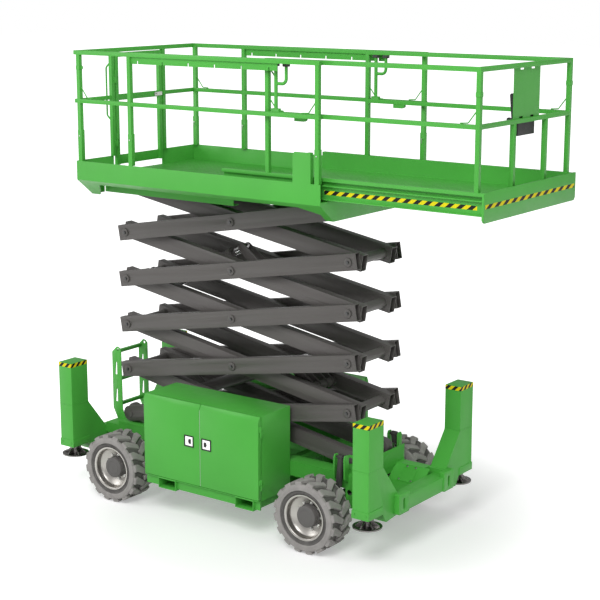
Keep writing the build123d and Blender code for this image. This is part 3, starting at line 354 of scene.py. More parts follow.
SLOT_FINISH = {
    Slot.GREEN: GREEN, Slot.ARM: ARM_GREY, Slot.BLACK: BLACK, Slot.TYRE: RUBBER, Slot.RIM: RIM,
    Slot.JACK: DARK_CHROME, Slot.ROD: CHROME, Slot.BATTERY: BATTERY, Slot.CONTROL: PLASTIC,
}

NODE_SLOT = {entry["node"]: Slot(entry["material_slot"]) for entry in frame["record"]["subparts"]}
NODE_BODY = {node: body for body, nodes in frame["record"]["behaviour"]["bodies"].items() for node in nodes}


@dataclass
class SoftEdges:
    """Copies of CAD nodes whose edges are rounded as rolled, bent and welded steel is."""

    width: float = 0.003
    segments: int = 2
    merge: float = 0.00002
    flat_angle: float = math.radians(0.6)
    edge_angle: float = math.radians(32)

    def dress(self, node: str) -> None:
        """Replace a node by its copy with rounded edges.

        Args:
            node: the CAD node's name.
        """
        source = frame["nodes"][node]
        mesh = source.data.copy()
        mesh.name = f"{node}_skin"
        work = bmesh.new()
        work.from_mesh(mesh)
        bmesh.ops.remove_doubles(work, verts=work.verts, dist=self.merge)
        bmesh.ops.dissolve_limit(work, angle_limit=self.flat_angle, verts=work.verts, edges=work.edges)
        for face in work.faces:
            face.smooth = True
            face.material_index = 0
        work.to_mesh(mesh)
        work.free()
        mesh.materials.clear()
        mesh.materials.append(finish(SLOT_FINISH[NODE_SLOT[node]]))
        piece = bpy.data.objects.new(f"{node}_skin", mesh)
        bpy.context.scene.collection.objects.link(piece)
        bevel = piece.modifiers.new("edges", "BEVEL")
        bevel.width = self.width
        bevel.segments = self.segments
        bevel.limit_method = "ANGLE"
        bevel.angle_limit = self.edge_angle
        bevel.harden_normals = True
        bevel.use_clamp_overlap = True
        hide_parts(node)
        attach(piece, NODE_BODY[node])
        LOG.info("%s on %s: dressed", piece.name, NODE_BODY[node])


# ------------------------------------------------------------------ geometry node trees
WASHER_DEPTH = 0.003
BEND_STEPS = 8


class TreeMaker:
    """Short hand for building a Geometry Nodes tree with named inputs."""

    def __init__(self, name: str, inputs: dict[str, str]) -> None:
        """Start a tree with a geometry input and output.

        Args:
            name: the tree's name.
            inputs: kinds such as Float, Int or Vector by input name; Material is added to them.
        """
        self.tree = bpy.data.node_groups.new(name, "GeometryNodeTree")
        self.tree.interface.new_socket("Geometry", in_out="INPUT", socket_type="NodeSocketGeometry")
        self.tree.interface.new_socket("Geometry", in_out="OUTPUT", socket_type="NodeSocketGeometry")
        self.source = self.tree.nodes.new("NodeGroupInput")
        self.result = self.tree.nodes.new("NodeGroupOutput")
        for input_name, kind in {**inputs, "Material": "Material"}.items():
            self.tree.interface.new_socket(input_name, in_out="INPUT", socket_type=f"NodeSocket{kind}")

    def node(self, kind: str, inputs: Optional[dict[str | int, object]] = None,
             **settings: object) -> Node:
        """Add a node and fill or link its inputs.

        Args:
            kind: the node's type name.
            inputs: values or sockets by the input's name or number.
            **settings: attributes of the node.

        Returns:
            The new node.
        """
        made = self.tree.nodes.new(kind)
        for key, value in settings.items():
            setattr(made, key, value)
        for key, value in (inputs or {}).items():
            if isinstance(value, Socket):
                self.tree.links.new(value, made.inputs[key])
            else:
                made.inputs[key].default_value = value
        return made

    def value(self, name: str) -> Socket:
        """The socket of a named input."""
        return self.source.outputs[name]

    def math(self, operation: str, *values: object) -> Socket:
        """Arithmetic on numbers or sockets.

        Args:
            operation: the Math node's operation.
            *values: its inputs in order.

        Returns:
            The value socket.
        """
        return self.node("ShaderNodeMath", dict(enumerate(values)), operation=operation).outputs[0]

    def close(self, geometry: Socket) -> Tree:
        """End the tree in Realize Instances and Set Material.

        Args:
            geometry: the last geometry.

        Returns:
            The finished tree.
        """
        real = self.node("GeometryNodeRealizeInstances", {"Geometry": geometry})
        coated = self.node("GeometryNodeSetMaterial",
                           {"Geometry": real.outputs[0], "Material": self.value("Material")})
        self.tree.links.new(coated.outputs[0], self.result.inputs[0])
        return self.tree


def ring_tree() -> Tree:
    """Copies of the incoming mesh, turned by equal steps round the Y axis."""
    maker = TreeMaker("copies", {"Count": "Int", "Turn": "Float"})
    single = maker.node("GeometryNodeGeometryToInstance", {"Geometry": maker.value("Geometry")})
    copies = maker.node("GeometryNodeDuplicateElements",
                        {"Geometry": single.outputs[0], "Amount": maker.value("Count")}, domain="INSTANCE")
    angle = maker.math("MULTIPLY", copies.outputs["Duplicate Index"], maker.value("Turn"))
    spin = maker.node("ShaderNodeCombineXYZ", {"Y": angle})
    turned = maker.node("GeometryNodeRotateInstances",
                        {"Instances": copies.outputs["Geometry"], "Rotation": spin.outputs[0],
                         "Local Space": False})
    return maker.close(turned.outputs[0])


def bolt_tree() -> Tree:
    """A hexagon head on a washer at every point, its axis along the point's aim."""
    maker = TreeMaker("bolts", {"Head Radius": "Float", "Head Height": "Float", "Washer Radius": "Float"})
    height = maker.value("Head Height")
    head = maker.node("GeometryNodeMeshCylinder",
                      {"Vertices": 6, "Radius": maker.value("Head Radius"), "Depth": height})
    washer = maker.node("GeometryNodeMeshCylinder",
                        {"Vertices": 24, "Radius": maker.value("Washer Radius"), "Depth": WASHER_DEPTH})
    up = maker.node("ShaderNodeCombineXYZ", {"Z": maker.math("MULTIPLY", height, 0.5)})
    raised = maker.node("GeometryNodeTransform",
                        {"Geometry": head.outputs["Mesh"], "Translation": up.outputs[0]})
    both = maker.node("GeometryNodeJoinGeometry")
    maker.tree.links.new(raised.outputs[0], both.inputs[0])
    maker.tree.links.new(washer.outputs["Mesh"], both.inputs[0])
    aim = maker.node("GeometryNodeInputNamedAttribute", {"Name": "aim"}, data_type="FLOAT_VECTOR")
    align = maker.node("FunctionNodeAlignRotationToVector", {"Vector": aim.outputs["Attribute"]}, axis="Z")
    placed = maker.node("GeometryNodeInstanceOnPoints",
                        {"Points": maker.value("Geometry"), "Instance": both.outputs[0],
                         "Rotation": align.outputs[0]})
    return maker.close(placed.outputs[0])


def path_skin(maker: TreeMaker, curve: Socket, radius: Socket) -> Tree:
    """Close a tree with a round skin of a given radius along a curve.

    Args:
        maker: the tree in the making, with a Sides input.
        curve: the path.
        radius: the radius at each point of the path.

    Returns:
        The finished tree.
    """
    profile = maker.node("GeometryNodeCurvePrimitiveCircle",
                         {"Resolution": maker.value("Sides"), "Radius": 1.0})
    skin = maker.node("GeometryNodeCurveToMesh",
                      {"Curve": curve, "Profile Curve": profile.outputs["Curve"], "Scale": radius,
                       "Fill Caps": True})
    return maker.close(skin.outputs[0])


def tube_tree() -> Tree:
    """A round bar along a path, its corners bent."""
    maker = TreeMaker("bent bar", {"Radius": "Float", "Bend": "Float", "Sides": "Int"})
    path = maker.node("GeometryNodeMeshToCurve", {"Mesh": maker.value("Geometry")})
    bent = maker.node("GeometryNodeFilletCurve",
                      {"Curve": path.outputs[0], "Count": BEND_STEPS, "Radius": maker.value("Bend"),
                       "Limit Radius": True}, mode="POLY")
    return path_skin(maker, bent.outputs[0], maker.value("Radius"))


def seam_tree() -> Tree:
    """A weld bead along a path, rippled as it was laid."""
    maker = TreeMaker("weld seam", {"Radius": "Float", "Ripple": "Float", "Ripple Length": "Float",
                                    "Sides": "Int"})
    ripple_length = maker.value("Ripple Length")
    path = maker.node("GeometryNodeMeshToCurve", {"Mesh": maker.value("Geometry")})
    quarter = maker.math("MULTIPLY", ripple_length, 0.25)
    fine = maker.node("GeometryNodeResampleCurve", {"Curve": path.outputs[0], "Length": quarter},
                      mode="LENGTH")
    spot = maker.node("GeometryNodeSplineParameter")
    turns = maker.math("DIVIDE", spot.outputs["Length"], ripple_length)
    wave = maker.math("SINE", maker.math("MULTIPLY", turns, 2 * math.pi))
    swell = maker.math("MULTIPLY_ADD", wave, maker.value("Ripple"), maker.value("Radius"))
    return path_skin(maker, fine.outputs[0], swell)


def tread_tree() -> Tree:
    """Small raised lozenges over a rectangle, turned by turns to one side and the other."""
    maker = TreeMaker("tread", {"Length": "Float", "Width": "Float", "Across": "Int", "Along": "Int",
                                "Lozenge": "Vector", "Centre": "Vector"})
    grid = maker.node("GeometryNodeMeshGrid",
                      {"Size X": maker.value("Length"), "Size Y": maker.value("Width"),
                       "Vertices X": maker.value("Along"), "Vertices Y": maker.value("Across")})
    seed = maker.node("GeometryNodeMeshIcoSphere", {"Radius": 0.5, "Subdivisions": 1})
    index = maker.node("GeometryNodeInputIndex").outputs[0]
    column = maker.math("FLOOR", maker.math("DIVIDE", index, maker.value("Across")))
    parity = maker.math("FLOORED_MODULO", maker.math("ADD", column, index), 2.0)
    spin = maker.node("ShaderNodeCombineXYZ",
                      {"Z": maker.math("MULTIPLY_ADD", parity, math.pi / 2, math.pi / 4)})
    placed = maker.node("GeometryNodeInstanceOnPoints",
                        {"Points": grid.outputs["Mesh"], "Instance": seed.outputs["Mesh"],
                         "Rotation": spin.outputs[0], "Scale": maker.value("Lozenge")})
    moved = maker.node("GeometryNodeTransform",
                       {"Geometry": placed.outputs[0], "Translation": maker.value("Centre")})
    return maker.close(moved.outputs[0])


TREES = {"copies": ring_tree, "bolts": bolt_tree, "tube": tube_tree, "seam": seam_tree, "tread": tread_tree}
_BUILT_TREES: dict[str, Tree] = {}


def grow(mesh: Mesh, tree_name: str, coat: Coat, **values: object) -> Mesh:
    """Run a mesh through a Geometry Nodes tree and keep the plain result.

    Args:
        mesh: the incoming mesh.
        tree_name: one of TREES.
        coat: the finish set at the end.
        **values: the tree's inputs, with underscores for spaces.

    Returns:
        The resulting mesh.
    """
    if tree_name not in _BUILT_TREES:
        _BUILT_TREES[tree_name] = TREES[tree_name]()
    tree = _BUILT_TREES[tree_name]
    made = bpy.data.objects.new("growing", mesh)
    bpy.context.scene.collection.objects.link(made)
    modifier = made.modifiers.new("grow", "NODES")
    modifier.node_group = tree
    wanted = {key.replace("_", " "): value for key, value in values.items()}
    wanted["Material"] = finish(coat)
    for item in tree.interface.items_tree:
        if item.in_out == "INPUT" and item.name in wanted:
            modifier[item.identifier] = wanted[item.name]
    made.update_tag()
    graph = bpy.context.evaluated_depsgraph_get()
    result = bpy.data.meshes.new_from_object(made.evaluated_get(graph), depsgraph=graph)
    made.modifiers.remove(modifier)
    bpy.data.objects.remove(made)
    return result


# ------------------------------------------------------------------ places on the machine
MID_X = -0.479
SIDES = {"left": 1, "right": -1}
ORIGIN: Point = (0.0, 0.0, 0.0)
TOWER_X: tuple[Span, ...] = ((1.663, 1.827), (-1.794, -1.630))
TOWER_Y: Span = (0.642, 0.865)


def at(x: float) -> float:
    """Distance ahead of the middle between the axles, as an x of the frame."""
    return MID_X + x


def across(sign: int, distances: Span) -> Span:
    """Two distances from the middle plane, the nearer first, as y values of one side, the lower first."""
    near, far = distances
    return (near, far) if sign > 0 else (-far, -near)


# ------------------------------------------------------------------ mesh helpers
class Axis(Enum):
    """The direction a section is pushed along, by the index of its coordinate."""

    X = 0
    Y = 1
    Z = 2


class Mould:
    """Solids gathered into one mesh."""

    def __init__(self) -> None:
        """Start empty."""
        self.work = bmesh.new()

    def box(self, low: Point, high: Point, chamfer: float = 0.0) -> "Mould":
        """Add a box between two corners.

        Args:
            low: its lowest corner.
            high: its highest corner.
            chamfer: width of its rounded edges.

        Returns:
            The mould.
        """
        size = [high[k] - low[k] for k in range(3)]
        centre = [(high[k] + low[k]) / 2 for k in range(3)]
        matrix = Matrix.Translation(centre) @ Matrix.Diagonal((*size, 1.0))
        made = bmesh.ops.create_cube(self.work, size=1.0, matrix=matrix)
        self.soften((edge for vertex in made["verts"] for edge in vertex.link_edges), chamfer)
        return self

    def soften(self, edges: Iterable[bmesh.types.BMEdge], chamfer: float) -> None:
        """Round edges, each named once or more, where the chamfer is above 0."""
        if chamfer:
            bmesh.ops.bevel(self.work, geom=list(set(edges)), offset=chamfer, segments=2, affect="EDGES",
                            clamp_overlap=True)

    def slab(self, x: Span, y: Span, z: Span, sign: int = 1, chamfer: float = 0.0) -> "Mould":
        """Add a box on one side of the machine.

        Args:
            x: its ends, ahead of the middle between the axles.
            y: its distances from the middle plane, the nearer first.
            z: its heights, the lower first.
            sign: 1 on the left, -1 on the right.
            chamfer: width of its rounded edges.

        Returns:
            The mould.
        """
        right, left = across(sign, y)
        return self.box((at(x[0]), right, z[0]), (at(x[1]), left, z[1]), chamfer)

    def push(self, outline: Sequence[Span], axis: Axis, reach: Span, chamfer: float = 0.0) -> "Mould":
        """Add a prism: an outline in the two other coordinates, pushed along an axis.

        Args:
            outline: its corners in order.
            axis: the direction of the prism.
            reach: where it begins and ends.
            chamfer: width of its rounded edges.

        Returns:
            The mould.
        """
        rings = []
        for along in reach:
            ring = []
            for pair in outline:
                place = list(pair)
                place.insert(axis.value, along)
                ring.append(self.work.verts.new(place))
            rings.append(ring)
        first, second = rings
        faces = [self.work.faces.new(first), self.work.faces.new(second[::-1])]
        for k in range(len(outline)):
            after = (k + 1) % len(outline)
            faces.append(self.work.faces.new((first[k], second[k], second[after], first[after])))
        bmesh.ops.recalc_face_normals(self.work, faces=faces)
        self.soften((edge for face in faces for edge in face.edges), chamfer)
        return self

    def turn(self, section: Sequence[Span], centre: Point, axis: Axis = Axis.Y, steps: int = 96) -> "Mould":
        """Add a round body: (radius, along) points turned about an axis through a centre.

        Args:
            section: the points, closed when the first and last radius is above 0.
            centre: the point that along is measured from.
            axis: the axis of revolution.
            steps: sides of the round body.

        Returns:
            The mould.
        """
        rings = []
        others = [k for k in range(3) if k != axis.value]
        for radius, along in section:
            ring = []
            for k in range(steps if radius > 0 else 1):
                angle = 2 * math.pi * k / steps
                place = list(centre)
                place[axis.value] += along
                place[others[0]] += radius * math.cos(angle)
                place[others[1]] += radius * math.sin(angle)
                ring.append(self.work.verts.new(place))
            rings.append(ring)
        pairs = list(zip(rings, rings[1:]))
        if section[0][0] > 0 and section[-1][0] > 0:
            pairs.append((rings[-1], rings[0]))
        faces = []
        for first, second in pairs:
            for k in range(steps):
                here, after = [(ring[k % len(ring)], ring[(k + 1) % len(ring)]) for ring in (first, second)]
                unique = list(dict.fromkeys((*here, *after[::-1])))
                if len(unique) > 2:
                    faces.append(self.work.faces.new(unique))
        bmesh.ops.recalc_face_normals(self.work, faces=faces)
        return self

    def bar(self, start: Point, stop: Point, radius: float, sides: int = 24) -> "Mould":
        """Add a round bar between two points.

        Args:
            start: one end.
            stop: the other end.
            radius: its radius.
            sides: its sides.

        Returns:
            The mould.
        """
        run = Vector(stop) - Vector(start)
        turned = run.to_track_quat("Z", "Y").to_matrix().to_4x4()
        matrix = Matrix.Translation((Vector(start) + Vector(stop)) / 2) @ turned
        bmesh.ops.create_cone(self.work, cap_ends=True, segments=sides, radius1=radius, radius2=radius,
                              depth=run.length, matrix=matrix)
        return self

    def mesh(self, name: str, smooth_angle: float = 35.0) -> Mesh:
        """Close the mould.

        Args:
            name: the mesh's name.
            smooth_angle: edges sharper than this many degrees stay sharp.

        Returns:
            The mesh.
        """
        self.work.normal_update()
        for face in self.work.faces:
            face.smooth = True
        for edge in self.work.edges:
            if len(edge.link_faces) == 2 and edge.calc_face_angle(0.0) > math.radians(smooth_angle):
                edge.smooth = False
        made = bpy.data.meshes.new(name)
        self.work.to_mesh(made)
        self.work.free()
        return made


def mirrored(mesh: Mesh) -> Mesh:
    """A copy of a mesh on the other side of the middle plane, its faces still pointing out."""
    made = mesh.copy()
    made.transform(Matrix.Diagonal((1.0, -1.0, 1.0, 1.0)))
    made.flip_normals()
    return made


def path_mesh(*routes: Sequence[Point]) -> Mesh:
    """Edges along routes, for the tube and seam trees."""
    points = [point for route in routes for point in route]
    edges, base = [], 0
    for route in routes:
        edges += [(base + k, base + k + 1) for k in range(len(route) - 1)]
        base += len(route)
    made = bpy.data.meshes.new("path")
    made.from_pydata(points, edges, [])
    return made


def bolt_mesh(spots: Sequence[tuple[Point, Point]], coat: Coat, head: float) -> Mesh:
    """Bolts at places with directions.

    Args:
        spots: pairs of a place and the direction of the head.
        coat: their finish.
        head: radius of the hexagon.

    Returns:
        The mesh.
    """
    points = bpy.data.meshes.new("spots")
    points.from_pydata([place for place, _ in spots], [], [])
    aim = points.attributes.new("aim", "FLOAT_VECTOR", "POINT")
    for k, (_, direction) in enumerate(spots):
        aim.data[k].vector = direction
    return grow(points, "bolts", coat, Head_Radius=head, Head_Height=head * 0.7, Washer_Radius=head * 1.35)


def publish(name: str, body: str, mesh: Mesh, coat: Optional[Coat] = None,
            stands_for: Iterable[str] = ()) -> None:
    """Make a finished piece of a mesh.

    Args:
        name: the piece's name.
        body: the body it rides on.
        mesh: its mesh, in place.
        coat: its finish, or None where the mesh has one.
        stands_for: CAD nodes it replaces.
    """
    mesh.name = name
    if coat is not None:
        mesh.materials.clear()
        mesh.materials.append(finish(coat))
    piece = bpy.data.objects.new(name, mesh)
    bpy.context.scene.collection.objects.link(piece)
    for node in stands_for:
        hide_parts(node)
    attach(piece, body)
    LOG.info("%s on %s: %d faces", name, body, len(mesh.polygons))


# ------------------------------------------------------------------ wheels
@dataclass
class Wheels:
    """Lugged tyres, dished rims, dark hubs and wheel nuts."""

    axle_x: dict[str, float] = field(default_factory=lambda: {"front": 1.145, "rear": -1.145})
    centre_y: float = 0.725
    radius: float = 0.330
    half_width: float = 0.148
    crown: float = 0.306
    sunk: float = 0.006
    bead: float = 0.1985
    lip_radius: float = 0.211
    step_radius: float = 0.250
    lugs: int = 16
    lug_reach: float = 0.0603
    lug_end: float = 0.136
    nuts: int = 9
    nut_circle: float = 0.122
    nut_seat: float = -0.041
    hub_radius: float = 0.0985
    hub_face: float = -0.1025
    sides: int = 112
    hub_sides: int = 96

    def carcass(self) -> Mesh:
        """The tyre without its lugs, outer face to -Y, about the origin."""
        half, step = self.half_width, self.step_radius
        section = [
            (self.bead, -0.1165), (0.2135, -0.1165), (0.2140, -0.130), (0.2165, -0.1335), (0.2215, -0.1345),
            (0.2225, -0.1375), (0.2245, -0.1375), (0.2255, -0.1345), (0.2440, -0.1350),
            (step - 0.0015, -0.1370), (step, -0.1455), (step + 0.003, -half), (0.268, -half),
            (0.269, -half + 0.0012), (0.2705, -half + 0.0012), (0.2715, -half), (0.290, -half + 0.0005),
            (0.300, -half + 0.004), (0.305, -half + 0.012), (self.crown, -half + 0.024),
            (self.crown, half - 0.024), (0.305, half - 0.012), (0.300, half - 0.004), (0.290, half - 0.0005),
            (0.2165, half), (0.2140, half - 0.003), (0.2135, 0.1165), (self.bead, 0.1165),
        ]
        return Mould().turn(section, ORIGIN, steps=self.sides).mesh("carcass")

    def lug_edges(self, y: float) -> Span:
        """Left and right edge of a lug at a distance from the middle of the tread, as arc lengths."""
        reach, heel = self.lug_reach, 0.002
        corner, hook = self.lug_end - 0.044, self.lug_end - 0.034
        left = -reach if y >= corner else -reach + 1.3 * reach * (corner - y) / (corner + 0.018)
        if y >= hook:
            right = 0.12 * reach
        elif y >= heel:
            right = reach - 0.88 * reach * (y - heel) / (hook - heel)
        else:
            right = reach - 0.7 * reach * (heel - y) / 0.020
        return left, right

    def lug(self, side: int, flank: float = 0.004, edge: float = 0.003) -> Mesh:
        """One hooked lug at the top of the tyre.

        Args:
            side: -1 for the outer row, 1 for the inner.
            flank: how much wider a lug is at its foot.
            edge: width of the worn edge along its top.

        Returns:
            The mesh.
        """
        end, low, worn = self.lug_end, self.crown - self.sunk, edge * 0.7
        stations = (end, end - 0.004, 0.118, 0.102, 0.096, 0.092, 0.080, 0.062, 0.044, 0.026, 0.010, 0.002,
                    -0.008, -0.0165)
        shape = Mould()
        work, rows = shape.work, []
        for number, y in enumerate(stations):
            left, right = self.lug_edges(y)
            high = self.radius - (worn if number in (0, len(stations) - 1) else 0.0)
            columns = [(left - flank, low), (left, high - worn), (left + edge, high)]
            columns += [(left + edge + (right - left - 2 * edge) * k / 4, high) for k in range(1, 4)]
            columns += [(right - edge, high), (right, high - worn), (right + flank, low)]
            row = []
            for arc, radius in columns:
                angle = arc / self.radius
                row.append(work.verts.new((radius * math.sin(angle), side * y, radius * math.cos(angle))))
            rows.append(row)
        feet = []
        for row, offset in ((rows[0], flank), (rows[-1], -flank)):
            foot = []
            for vertex in row:
                flat = Vector((vertex.co.x, 0.0, vertex.co.z)).normalized() * low
                foot.append(work.verts.new((flat.x, vertex.co.y + side * offset, flat.z)))
            feet.append(foot)
        rows = [feet[0], *rows, feet[1]]
        for first, second in zip(rows, rows[1:]):
            for k in range(len(first) - 1):
                work.faces.new((first[k], first[k + 1], second[k + 1], second[k]))
        bmesh.ops.recalc_face_normals(work, faces=work.faces)
        if sum(face.normal.z * face.calc_area() for face in work.faces) < 0:
            bmesh.ops.reverse_faces(work, faces=work.faces)
        return shape.mesh("lug", 40.0)

    def tyre(self) -> Mesh:
        """Carcass and both rows of lugs, about the origin; the bead ring is dark rubber and the tread between
        the lugs has painted shade.
        """
        pitch = 2 * math.pi / self.lugs
        joined = bmesh.new()
        joined.from_mesh(self.carcass())
        for side in (-1, 1):
            lug = self.lug(side)
            lug.transform(Matrix.Rotation(pitch * 0.25 * side, 4, "Y"))
            joined.from_mesh(grow(lug, "copies", RUBBER, Count=self.lugs, Turn=pitch))
        for face in joined.faces:
            centre = face.calc_center_median()
            radius = math.hypot(centre.x, centre.z)
            # Faces in the bead recess get the dark rubber; faces of the tread between the lugs get it as
            # painted shade.
            ring = self.bead < radius < self.step_radius - 0.001 and centre.y < 0
            tread = self.crown - 0.004 < radius < self.crown + 0.002 and abs(centre.y) < self.half_width - 0.02
            face.material_index = 1 if ring or tread else 0
        made = bpy.data.meshes.new("tyre")
        joined.to_mesh(made)
        joined.free()
        made.materials.append(finish(RUBBER))
        made.materials.append(finish(DARK_RING_AND_GROOVE_SHADE))
        return made

    def rim(self) -> Mesh:
        """Barrel with rolled lips and a dished disc, about the origin."""
        lip, bore = self.lip_radius, self.hub_radius
        section = [
            (0.096, -0.0340), (0.110, -0.0345), (0.140, -0.0480), (0.168, -0.0625), (0.183, -0.0730),
            (0.1880, -0.0800), (0.1895, -0.118), (0.1925, -0.1300), (0.198, -0.1335), (lip - 0.006, -0.1345),
            (lip - 0.0015, -0.1355), (lip, -0.1335), (lip, -0.1185), (lip - 0.002, -0.1173),
            (0.1980, -0.1173), (0.1980, 0.1173), (lip, 0.1173), (lip, 0.1335), (lip - 0.002, 0.1355),
            (0.196, 0.133), (0.192, 0.129), (0.188, 0.110), (0.188, -0.058), (0.170, -0.049), (0.120, -0.026),
            (bore, -0.020), (bore, 0.0055), (0.0405, 0.0055), (0.0405, -0.020), (0.096, -0.0205),
        ]
        return Mould().turn(section, ORIGIN, steps=self.sides).mesh("rim", 50.0)

    def hub(self) -> Mesh:
        """Dark drive hub with a shallow cover, about the origin."""
        face, radius, back = self.hub_face, self.hub_radius, -0.0350
        section = [
            (0.0, face + 0.0010), (0.006, face + 0.0010), (0.007, face), (0.060, face),
            (0.061, face + 0.0012), (0.064, face + 0.0012), (0.065, face), (radius - 0.006, face + 0.0005),
            (radius - 0.0015, face + 0.0035), (radius, face + 0.008), (radius, -0.050),
            (radius + 0.006, -0.047), (radius + 0.006, back), (0.0, back),
        ]
        return Mould().turn(section, ORIGIN, steps=self.hub_sides).mesh("hub", 40.0)

    def nut_ring(self) -> Mesh:
        """Wheel nuts on the disc around the hub, about the origin."""
        stud = [(0.0, -0.016), (0.004, -0.016), (0.0045, -0.0150), (0.0045, 0.0)]
        nut = [(0.0, -0.010), (0.0115, -0.010), (0.0125, -0.0088), (0.0125, 0.002)]
        washer = [(0.0, -0.0012), (0.015, -0.0012), (0.016, 0.001)]
        single = Mould()
        for section, sides in ((stud, 12), (nut, 6), (washer, 20)):
            single.turn(section, (self.nut_circle, self.nut_seat, 0.0), steps=sides)
        return grow(single.mesh("nut"), "copies", ZINC, Count=self.nuts, Turn=2 * math.pi / self.nuts)

    def build(self) -> None:
        """Make and place the four wheels."""
        shapes = {"tyre": (self.tyre(), None, Slot.TYRE), "rim": (self.rim(), RIM, Slot.RIM),
                  "hub": (self.hub(), HUB_GREY, None), "wheel_nuts": (self.nut_ring(), ZINC, None)}
        for end, axle in self.axle_x.items():
            for side, sign in SIDES.items():
                for kind, (mesh, coat, slot) in shapes.items():
                    placed = mirrored(mesh) if sign > 0 else mesh.copy()
                    placed.transform(Matrix.Translation((at(axle), sign * self.centre_y, self.radius)))
                    node = f"{kind}_{end}_{side}"
                    stands_for = [node] if node in NODE_SLOT else []
                    publish(f"{node}_skin", f"wheel_{end}_{side}", placed, coat, stands_for)


# ------------------------------------------------------------------ warning bands
@dataclass
class WarningBands:
    """Black and yellow tape on the towers and the roll-out deck."""

    tape: float = 0.0006
    tower_z: Span = (1.251, 1.289)
    web_y: float = 0.745
    web_x: Span = (1.275, 2.735)
    web_z: Span = (3.178, 3.213)
    front_x: float = 2.820
    front_half: float = 0.765
    front_z: Span = (3.196, 3.230)

    def build(self) -> None:
        """Lay the bands."""
        tape = self.tape
        towers, webs = Mould(), Mould()
        inner, outer = TOWER_Y
        for sign in SIDES.values():
            for x0, x1 in TOWER_X:
                for y in ((inner - tape, inner), (outer, outer + tape)):
                    towers.slab((x0 - tape, x1 + tape), y, self.tower_z, sign)
                for x in ((x0 - tape, x0), (x1, x1 + tape)):
                    towers.slab(x, TOWER_Y, self.tower_z, sign)
            webs.slab(self.web_x, (self.web_y, self.web_y + tape), self.web_z, sign)
        front = Mould().slab((self.front_x, self.front_x + tape / 2), (-self.front_half, self.front_half),
                             self.front_z)
        publish("tower_bands", "chassis", towers.mesh("bands"), TOWER_TAPE)
        publish("roll_out_side_bands", "extension", webs.mesh("bands"), SIDE_TAPE)
        publish("roll_out_front_band", "extension", front.mesh("band"), FRONT_TAPE)


# ------------------------------------------------------------------ fasteners
@dataclass
class Scissor:
    """Pin retainers of the scissor, worked out from its arms."""

    front_x: float = 1.257
    run: float = 2.60093
    rise: float = 0.4525
    base_z: float = 0.729
    stages: int = 5
    cap_y: float = 0.3715
    bolt_head: float = 0.0125
    tube_radius: float = 0.0465
    tube_end_y: float = 0.1885
    weld_steps: int = 24

    def joint(self, stage: int, step: int) -> Span:
        """Where a pin of a stage is.

        Args:
            stage: 1 for the lowest.
            step: 0 at the front end of the arm, 1 in its middle, 2 at its rear end.

        Returns:
            Its x in the frame and its height.
        """
        return at(self.front_x - self.run * step / 2), self.base_z + (stage - 1 + step / 2) * self.rise

    def keepers(self, stage: int) -> Mesh:
        """A bolt on both caps of every pin of a stage's arm that no part of the frame hides."""
        first = 1 if stage == 1 else 0
        last = 1 if stage == self.stages else 2
        spots = []
        for step in range(first, last + 1):
            x, z = self.joint(stage, step)
            spots += [((x, sign * self.cap_y, z), (0.0, float(sign), 0.0)) for sign in SIDES.values()]
        return bolt_mesh(spots, DARK_ZINC, self.bolt_head)

    def welds(self, stage: int) -> Mesh:
        """Beads round the ends of the cross tubes of a stage's arm."""
        rings = []
        for step in (0, 2):
            x, z = self.joint(stage, step)
            angles = [2 * math.pi * k / self.weld_steps for k in range(self.weld_steps + 1)]
            circle = [(x + self.tube_radius * math.cos(a), z + self.tube_radius * math.sin(a))
                      for a in angles]
            rings += [[(px, sign * self.tube_end_y, pz) for px, pz in circle] for sign in SIDES.values()]
        return grow(path_mesh(*rings), "seam", ARM_GREY, Radius=0.0035, Ripple=0.0006, Ripple_Length=0.006,
                    Sides=8)

    def build(self) -> None:
        """Bolt the pins' caps that no part of the frame hides and weld the ends of the cross tubes."""
        for stage in range(1, self.stages + 1):
            publish(f"pin_bolts_{stage}", f"inner_arm_{stage}", self.keepers(stage))
            publish(f"tube_welds_{stage}", f"inner_arm_{stage}", self.welds(stage), None)


